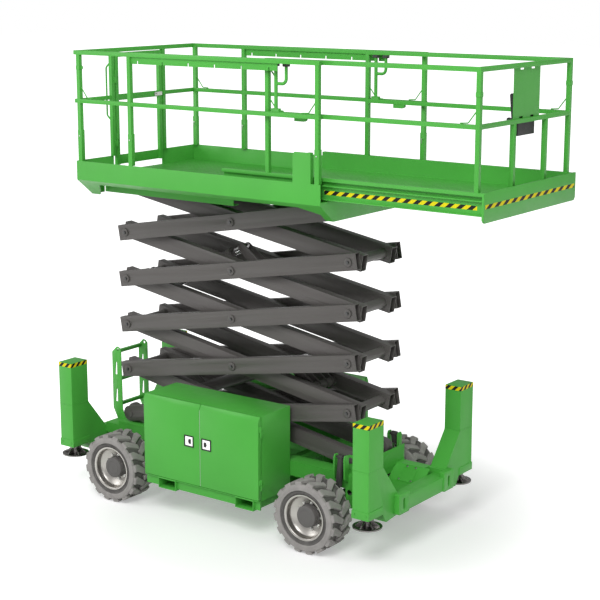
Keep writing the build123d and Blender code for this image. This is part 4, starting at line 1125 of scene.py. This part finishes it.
# ------------------------------------------------------------------ chassis fittings
@dataclass
class ChassisFittings:
    """Welds, bolts, jack collars, latches, the painted highlight at the door joints and the lock cylinders'
    valve block.
    """

    kink_z: float = 0.870
    pivot_x: Span = (1.167, 1.347)
    pivot_z: float = 0.641
    cover_spots: tuple[Span, ...] = ((1.495, 0.282), (1.585, 0.282), (1.470, 0.172), (1.600, 0.172))
    cover_edge: Span = (0.298, 0.574)
    cover_fall: float = 122 / 144
    cover_aim: Span = (-0.646, 0.763)
    bolt_head: float = 0.007
    wiper_z: float = 0.450
    latch_z: float = 0.797
    latch_x: dict[str, float] = field(default_factory=lambda: {"rear": -0.140, "front": 0.065})
    latch_size: Span = (0.112, 0.108)
    latch_rim: float = 0.011
    door_y: float = 0.875
    # Where the pale strip of painted highlight stands at the door joint.
    highlight_x: Span = (-0.0157, -0.0113)
    highlight_y: Span = (0.835, 0.8735)
    highlight_z: Span = (0.389, 1.110)

    def seams(self) -> None:
        """Weld beads round the towers' kinks and along the pivot plates."""
        inner, outer = TOWER_Y
        low, high = self.kink_z, self.kink_z + 0.004
        routes = []
        for sign in SIDES.values():
            y_in, y_out = sign * inner, sign * outer
            for x0, x1 in TOWER_X:
                routes.append([(at(x0), y_in, low), (at(x1), y_in, low)])
                routes += [[(at(x), y_in, high), (at(x), y_out, high)] for x in (x0, x1)]
                routes.append([(at(x0), y_out, high), (at(x1), y_out, high)])
            for y in (0.281, 0.299):
                routes.append([(at(x), sign * y, self.pivot_z) for x in self.pivot_x])
        weld = grow(path_mesh(*routes), "seam", GREEN, Radius=0.0026, Ripple=0.0004, Ripple_Length=0.007,
                    Sides=6)
        publish("chassis_welds", "chassis", weld, None)

    def bolts(self) -> None:
        """Bolts of the trough's covers and the collars."""
        covers, collars = [], []
        edge_y, edge_z = self.cover_edge
        for sign in SIDES.values():
            for x, y in self.cover_spots:
                z = edge_z - (edge_y - y) * self.cover_fall + 0.0078
                covers.append(((at(x), sign * (y - 0.0045), z),
                               (0.0, sign * self.cover_aim[0], self.cover_aim[1])))
            for x0, x1 in TOWER_X:
                for x in (x0 + 0.022, x1 - 0.022):
                    collars.append(((at(x), sign * 0.8715, 0.490), (0.0, float(sign), 0.0)))
        publish("cover_bolts", "chassis", bolt_mesh(covers, ZINC, self.bolt_head))
        publish("collar_bolts", "chassis", bolt_mesh(collars, GREEN, self.bolt_head), None)

    def wipers(self) -> None:
        """Black wiper rings where the jack rods leave the towers."""
        rings = Mould()
        section = [(0.0262, -0.004), (0.0275, -0.009), (0.040, -0.009), (0.044, -0.004), (0.044, 0.0),
                   (0.0262, 0.0)]
        for x0, x1 in TOWER_X:
            for sign in SIDES.values():
                rings.turn(section, (at((x0 + x1) / 2), sign * sum(TOWER_Y) / 2, self.wiper_z), Axis.Z, 48)
        publish("jack_wipers", "chassis", rings.mesh("wipers"), PLASTIC)

    def latch(self, end: str, side: str) -> None:
        """A paddle latch in its black frame on one door.

        Args:
            end: the door's end of the machine.
            side: the door's side.
        """
        middle, sign, door = self.latch_x[end], SIDES[side], self.door_y
        rim, lap = self.latch_rim, self.latch_rim - 0.001
        x0, x1 = middle - self.latch_size[0] / 2, middle + self.latch_size[0] / 2
        z0, z1 = self.latch_z - self.latch_size[1] / 2, self.latch_z + self.latch_size[1] / 2
        surround = Mould()
        for x, z in (((x0, x1), (z0, z0 + rim)), ((x0, x1), (z1 - rim, z1)),
                     ((x0, x0 + rim), (z0 + lap, z1 - lap)), ((x1 - rim, x1), (z0 + lap, z1 - lap))):
            surround.slab(x, (door, door + 0.006), z, sign, 0.001)
        pull = 1 if end == "rear" else -1
        grip = middle + pull * 0.012
        low, high = z0 + rim, z1 - rim
        paddle, well = Mould(), Mould()
        paddle.slab((x0 + rim, x1 - rim), (door, door + 0.0022), (low, high), sign, 0.0005)
        for mould, half, out, inset, chamfer in ((paddle, 0.024, 0.0048, 0.010, 0.0014),
                                                 (well, 0.015, 0.0056, 0.020, 0.0005)):
            mould.slab((grip - half, grip + half), (door, door + out), (low + inset, high - inset), sign,
                       chamfer)
        barrel = [(0.0, sign * 0.0068), (0.0085, sign * 0.0068), (0.010, sign * 0.006), (0.010, 0.0)]
        well.turn(barrel, (at(grip - pull * 0.010), sign * door, self.latch_z), Axis.Y, 32)
        for name, mould, coat in (("frame", surround, PLASTIC), ("paddle", paddle, CHROME),
                                  ("lock", well, PLASTIC)):
            publish(f"latch_{name}_{end}_{side}", f"cabinet_door_{end}_{side}", mould.mesh(name), coat)

    def door_highlight(self, side: str) -> None:
        """A pale strip in the gap between the two doors of a side: painted highlight for the lit door edges.
        """
        # Painted highlight: pale colour where the doors' edges catch the light.
        strip = Mould().slab(self.highlight_x, self.highlight_y, self.highlight_z, SIDES[side], 0.0006)
        publish(f"door_edge_highlight_{side}", "chassis", strip.mesh("door_highlight"), PALE_KEYS_AND_EDGE_HIGHLIGHT)

    def valve(self, side: str) -> None:
        """The valve block between the ears of a lock cylinder, with its unions."""
        sign = SIDES[side]
        block = Mould().slab((1.222, 1.262), (0.4085, 0.4300), (0.655, 0.715), sign, 0.002)
        for z in (0.668, 0.702):
            block.bar((at(1.262), sign * 0.419, z), (at(1.276), sign * 0.419, z), 0.0075, 6)
        block.bar((at(1.242), sign * 0.430, 0.685), (at(1.242), sign * 0.446, 0.685), 0.009, 16)
        publish(f"valve_block_{side}", "chassis", block.mesh("valve"), ZINC)

    def build(self) -> None:
        """Make all chassis fittings."""
        self.seams()
        self.bolts()
        self.wipers()
        for end in self.latch_x:
            for side in SIDES:
                self.latch(end, side)
        for side in SIDES:
            self.door_highlight(side)
        for side in SIDES:
            self.valve(side)


# ------------------------------------------------------------------ platform fittings
@dataclass
class PlatformFittings:
    """Tread, lanyard rods, rail brackets, gate parts, handles and the control box."""

    deck_x: Span = (-1.485, 1.305)
    deck_half: float = 0.847
    tube: float = 0.038
    top_under_z: float = 4.250
    mid_z: float = 3.845
    floor_z: float = 3.120
    roll_half: float = 0.780
    roll_floor_z: float = 3.168
    rail_front_x: float = 2.760
    lozenge: Point = (0.034, 0.009, 0.0040)
    tread_width: float = 1.40
    tread_rows: int = 26
    pin_z: float = 3.505
    console_y: float = 0.0475
    console_width: float = 0.285
    plate_y: Span = (-0.213, 0.230)
    clamp_x: Span = (0.785, 0.893)

    @property
    def deck_rail(self) -> float:
        """The deck's side rails: their distance from the middle plane."""
        return self.deck_half - self.tube / 2

    @property
    def roll_rail(self) -> float:
        """The roll-out deck's side rails: their distance from the middle plane."""
        return self.roll_half - self.tube / 2

    def tread(self) -> None:
        """Raised lozenges on both floors."""
        floors = (("deck_tread", "platform", 1.62, 30, (at(-0.63), 0.0, self.floor_z)),
                  ("roll_out_tread", "extension", 2.50, 46, (at(1.50), 0.0, self.roll_floor_z)))
        for name, body, length, along, centre in floors:
            grid = grow(bpy.data.meshes.new("seed"), "tread", GREEN, Length=length, Width=self.tread_width,
                        Along=along, Across=self.tread_rows, Lozenge=self.lozenge, Centre=centre)
            publish(name, body, grid, None)

    def bent_rods(self, name: str, body: str, routes: Sequence[Sequence[Point]], radius: float, bend: float,
                  sides: int = 12) -> None:
        """Publish green rods along routes.

        Args:
            name: the piece's name.
            body: the body it rides on.
            routes: corners of each rod.
            radius: radius of the rods.
            bend: radius of their bends.
            sides: sides of their section.
        """
        rods = grow(path_mesh(*routes), "tube", GREEN, Radius=radius, Bend=bend, Sides=sides)
        publish(name, body, rods, None)

    def lanyard_rods(self) -> None:
        """Bent anchor rods between posts and mid rails."""
        drop = ((0.0, 0.105), (0.012, 0.092), (0.075, 0.010), (0.145, 0.006))
        main = ((self.deck_x[0] + 0.069, 1), (self.deck_x[1] - 0.057, -1))
        roll_out = ((0.718, 1), (self.rail_front_x - 0.038, -1))
        for name, body, y, spots in (("main", "platform", self.deck_rail, main),
                                     ("roll_out", "extension", self.roll_rail, roll_out)):
            routes = [[(at(x + way * ahead), sign * y, self.mid_z + up) for ahead, up in drop]
                      for x, way in spots for sign in SIDES.values()]
            self.bent_rods(f"lanyard_rods_{name}", body, routes, 0.005, 0.018)

    def brackets(self) -> None:
        """Stop brackets under the roll-out mid rails and bosses on the corner posts."""
        stops, bosses = Mould(), Mould()
        corner, post = self.rail_front_x - 0.019, self.deck_x[0] + 0.050
        outline = [(at(0.985), 0.0), (at(1.105), 0.0), (at(1.105), -0.022), (at(1.085), -0.034),
                   (at(0.985), -0.034)]
        outline = [(x, self.mid_z - 0.036 + z) for x, z in outline]
        for sign in SIDES.values():
            y = self.roll_rail
            stops.push(outline, Axis.Y, across(sign, (y - 0.016, y + 0.016)), 0.002)
            stops.slab((corner - 0.023, corner + 0.023), (y - 0.023, y + 0.023), (4.058, 4.098), sign, 0.003)
            y = self.deck_rail
            bosses.slab((post - 0.023, post + 0.023), (y - 0.023, y + 0.023), (4.115, 4.150), sign, 0.003)
            bosses.slab((post + 0.019, post + 0.047), (y - 0.006, y + 0.006), (4.118, 4.146), sign, 0.003)
        publish("roll_out_brackets", "extension", stops.mesh("stops"), GREEN)
        publish("main_bosses", "platform", bosses.mesh("bosses"), GREEN)

    def sockets(self) -> None:
        """Spring pins through the sockets of the main posts."""
        pins = Mould()
        for x in (self.deck_x[0] + 0.050, -0.810, self.deck_x[1] - 0.038):
            for sign in SIDES.values():
                inner, outer = sign * (self.deck_half - self.tube - 0.018), sign * (self.deck_half + 0.006)
                pins.bar((at(x), inner, self.pin_z), (at(x), outer, self.pin_z), 0.006, 16)
                pins.bar((at(x), inner, self.pin_z - 0.007), (at(x), inner, self.pin_z - 0.039), 0.003, 10)
        publish("socket_pins", "platform", pins.mesh("pins"), ZINC)

    def gate(self) -> None:
        """Latch and catch of the gate and the bent grab rods beside it."""
        x, z = self.deck_x[0], self.mid_z
        latch = Mould().slab((x + 0.0335, x + 0.0445), (0.215, 0.325), (z - 0.040, z - 0.004), chamfer=0.002)
        latch.slab((x + 0.0445, x + 0.0560), (0.235, 0.262), (z - 0.028, z - 0.016), chamfer=0.002)
        catch = Mould().slab((x + 0.030, x + 0.0505), (0.3455, 0.362), (z - 0.046, z + 0.002), chamfer=0.002)
        publish("gate_latch", "gate", latch.mesh("latch"), ZINC)
        publish("gate_catch", "platform", catch.mesh("catch"), GREEN)
        bow = ((0.002, 4.155), (-0.050, 4.105), (-0.050, 3.655), (0.002, 3.605))
        routes = [[(at(x + ahead), sign * 0.364, up) for ahead, up in bow] for sign in SIDES.values()]
        self.bent_rods("gate_grab_rods", "platform", routes, 0.008, 0.03, 16)

    def handles(self) -> None:
        """Clamps of the push handles and their trigger levers."""
        clamps, routes = Mould(), []
        y, z = self.roll_rail, self.top_under_z
        for sign in SIDES.values():
            for x in self.clamp_x:
                clamps.slab((x - 0.026, x + 0.026), (y - 0.022, y + 0.022), (z - 0.028, z), sign, 0.003)
            lever = ((0.700, y - 0.020, 4.205), (0.735, y - 0.020, 4.165), (0.772, y, 4.140))
            routes.append([(at(x), sign * beside, up) for x, beside, up in lever])
        publish("handle_clamps", "extension", clamps.mesh("clamps"), BLACK)
        self.bent_rods("handle_levers", "extension", routes, 0.006, 0.02)

    def back_plate(self) -> None:
        """The console's back plate, with two slots for straps along its upper and lower edge."""
        x = (self.rail_front_x - 0.0235, self.rail_front_x - 0.0185)
        (y0, y1), low, high = self.plate_y, self.mid_z, self.top_under_z
        slot_half, ledge = 0.030, 0.016
        plate = Mould().slab(x, self.plate_y, (low + ledge, high - ledge), chamfer=0.0008)
        slots = [y0 + share * (y1 - y0) for share in (0.30, 0.72)]
        ends = [y0, *(slot + way * slot_half for slot in slots for way in (-1, 1)), y1]
        for z in ((low - 0.001, low + ledge), (high - ledge, high + 0.001)):
            for y in zip(ends[::2], ends[1::2]):
                plate.slab(x, y, z, chamfer=0.0004)
        publish("control_back_plate", "extension", plate.mesh("plate"), GREEN)

    def controls(self) -> None:
        """Panel, joystick, stop button and keys, made on an upright face and laid onto the inclined one."""
        back = self.rail_front_x - self.tube + 0.001
        foot, head = (back - 0.050, self.mid_z - 0.145), (back - 0.082, self.mid_z + 0.183)
        length, half = math.dist(foot, head), self.console_width / 2
        lean = math.atan2(foot[0] - head[0], head[1] - foot[1])
        panel = Mould().box((-0.004, 0.010 - half, 0.012), (0.0, half - 0.010, length - 0.012), 0.0015)
        panel.box((-0.012, 0.020 - half, length - 0.030), (-0.003, half - 0.020, length - 0.018), 0.003)
        boot = [(0.0, -0.030), (0.012, -0.030), (0.020, -0.018), (0.026, -0.006), (0.030, 0.0)]
        knob = [(0.0, -0.022), (0.010, -0.020), (0.015, -0.010), (0.015, 0.008), (0.009, 0.016), (0.0, 0.017)]
        stick_y, stick_z = -0.055, 0.130
        stick = Mould().turn(boot, (-0.003, stick_y, stick_z), Axis.X, 40)
        stick.bar((-0.028, stick_y, stick_z), (-0.062, stick_y, stick_z), 0.007, 24)
        stick.turn(knob, (-0.066, stick_y, stick_z), Axis.X, 32)
        button = [(0.0, -0.034), (0.016, -0.033), (0.020, -0.028), (0.020, -0.020), (0.012, -0.014),
                  (0.012, 0.0)]
        stop = Mould().turn(button, (-0.003, 0.070, 0.110), Axis.X, 40)
        key = [(0.0, -0.007), (0.010, -0.007), (0.0115, -0.005), (0.0115, 0.0)]
        keys = Mould()
        for z in (0.215, 0.260):
            for column in range(4):
                keys.turn(key, (-0.003, -0.082 + column * 0.055, z), Axis.X, 24)
        lay = Matrix.Translation((at(foot[0]), self.console_y, foot[1])) @ Matrix.Rotation(-lean, 4, "Y")
        for name, mould, coat in (("panel", panel, PLASTIC), ("joystick", stick, PLASTIC),
                                  ("stop_button", stop, STOP_RED), ("keys", keys, PALE_KEYS_AND_EDGE_HIGHLIGHT)):
            mesh = mould.mesh(name)
            mesh.transform(lay)
            publish(f"control_{name}", "extension", mesh, coat)

    def build(self) -> None:
        """Make all platform fittings."""
        self.tread()
        self.lanyard_rods()
        self.brackets()
        self.sockets()
        self.gate()
        self.handles()
        self.back_plate()
        self.controls()


# ------------------------------------------------------------------ studio
@dataclass
class Studio:
    """Pale floor, soft lamps and the camera."""

    camera_at: Point = (8.108, -11.064, 5.027)
    azimuth: float = 36.24
    elevation: float = 12.27
    lens: float = 91.62
    backdrop: float = 1.0
    surroundings: float = 0.38
    floor_tone: float = 0.80
    # Painted shade on the floor: its glow is this low near the object and rises to full between the two
    # distances below.
    painted_shade_glow: float = 0.34
    shade_near: float = 1.5
    shade_far: float = 3.7

    def camera(self) -> None:
        """Place the camera."""
        data = bpy.data.cameras.new("camera")
        data.lens = self.lens
        data.sensor_width = 36.0
        data.clip_end = 200.0
        made = bpy.data.objects.new("camera", data)
        made.location = self.camera_at
        made.rotation_euler = (math.radians(90 - self.elevation), 0.0, math.radians(self.azimuth))
        bpy.context.scene.collection.objects.link(made)
        bpy.context.scene.camera = made

    def lamp(self, name: str, place: Point, towards: Point, size: float, watts: float) -> None:
        """Add a soft square lamp.

        Args:
            name: its name.
            place: where it hangs.
            towards: the point it faces.
            size: its side in metres.
            watts: its power.
        """
        data = bpy.data.lights.new(name, "AREA")
        data.shape = "SQUARE"
        data.size = size
        data.energy = watts
        made = bpy.data.objects.new(name, data)
        made.location = place
        made.rotation_euler = (Vector(towards) - Vector(place)).to_track_quat("-Z", "Y").to_euler()
        bpy.context.scene.collection.objects.link(made)

    def floor(self) -> None:
        """Lay the pale floor: white to the camera away from the object, and near it a painted shade that dims
        its glow, over the shadows the lamps cast.
        """
        material = bpy.data.materials.new("floor")
        material.use_nodes = True
        tree = material.node_tree
        tree.nodes.clear()
        output = tree.nodes.new("ShaderNodeOutputMaterial")
        matt = tree.nodes.new("ShaderNodeBsdfDiffuse")
        matt.inputs["Color"].default_value = (self.floor_tone, self.floor_tone, self.floor_tone, 1.0)
        glow = tree.nodes.new("ShaderNodeEmission")
        both = tree.nodes.new("ShaderNodeAddShader")
        path = tree.nodes.new("ShaderNodeLightPath")
        seen = tree.nodes.new("ShaderNodeMath")
        seen.operation = "ADD"
        also = tree.nodes.new("ShaderNodeMath")
        also.operation = "ADD"
        also.use_clamp = True
        strength = tree.nodes.new("ShaderNodeMath")
        strength.operation = "MULTIPLY"
        tree.links.new(path.outputs["Is Camera Ray"], seen.inputs[0])
        tree.links.new(path.outputs["Is Glossy Ray"], seen.inputs[1])
        tree.links.new(seen.outputs[0], also.inputs[0])
        tree.links.new(path.outputs["Is Transmission Ray"], also.inputs[1])
        tree.links.new(also.outputs[0], strength.inputs[0])
        place = tree.nodes.new("ShaderNodeTexCoord")
        far = tree.nodes.new("ShaderNodeVectorMath")
        far.operation = "LENGTH"
        # Painted shade: the glow fades towards the object's middle, darkening the floor round it whatever the
        # lamps do.
        painted_shade_ramp = tree.nodes.new("ShaderNodeMapRange")
        painted_shade_ramp.interpolation_type = "SMOOTHSTEP"
        for name, value in (("From Min", self.shade_near), ("From Max", self.shade_far),
                            ("To Min", self.painted_shade_glow), ("To Max", 1.0)):
            painted_shade_ramp.inputs[name].default_value = value
        tree.links.new(place.outputs["Object"], far.inputs[0])
        tree.links.new(far.outputs["Value"], painted_shade_ramp.inputs["Value"])
        tree.links.new(painted_shade_ramp.outputs["Result"], strength.inputs[1])
        tree.links.new(strength.outputs[0], glow.inputs["Strength"])
        tree.links.new(matt.outputs[0], both.inputs[0])
        tree.links.new(glow.outputs[0], both.inputs[1])
        tree.links.new(both.outputs[0], output.inputs["Surface"])
        bpy.ops.mesh.primitive_plane_add(size=160.0, location=(0, 0, -0.0005))
        plane = bpy.context.object
        plane.name = "floor"
        plane.data.materials.append(material)

    def world(self) -> None:
        """White surroundings for the camera and for reflections, dimmer as a light."""
        world = bpy.data.worlds.new("world")
        world.use_nodes = True
        bpy.context.scene.world = world
        tree = world.node_tree
        background = tree.nodes["Background"]
        background.inputs["Color"].default_value = (1.0, 1.0, 1.0, 1.0)
        path = tree.nodes.new("ShaderNodeLightPath")
        seen = tree.nodes.new("ShaderNodeMath")
        seen.operation = "MULTIPLY_ADD"
        tree.links.new(path.outputs["Is Camera Ray"], seen.inputs[0])
        seen.inputs[1].default_value = self.backdrop - self.surroundings
        seen.inputs[2].default_value = self.surroundings
        tree.links.new(seen.outputs["Value"], background.inputs["Strength"])

    def build(self) -> None:
        """Set up everything that isn't the object."""
        self.camera()
        self.floor()
        self.world()
        self.lamp("key", (4.2, -9.8, 11.0), (0, 0, 1.8), 6.0, 1020.0)
        self.lamp("fill", (11.0, 3.0, 6.0), (0, 0, 2.0), 5.0, 110.0)
        self.lamp("left", (-9.0, -7.0, 6.0), (0, 0, 2.0), 5.0, 330.0)
        bpy.context.scene.view_settings.view_transform = "Standard"
        LOG.info("studio: camera, floor and lamps")


def main() -> None:
    """Build the pieces in order."""
    logging.basicConfig(level=logging.INFO, format="%(message)s")
    Studio().build()
    edges = SoftEdges()
    for node in sorted(NODE_SLOT):
        if NODE_SLOT[node] not in (Slot.TYRE, Slot.RIM):
            edges.dress(node)
    for assembly in (Wheels(), WarningBands(), Scissor(), ChassisFittings(), PlatformFittings()):
        assembly.build()
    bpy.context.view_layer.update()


if __name__ == "__main__":
    main()
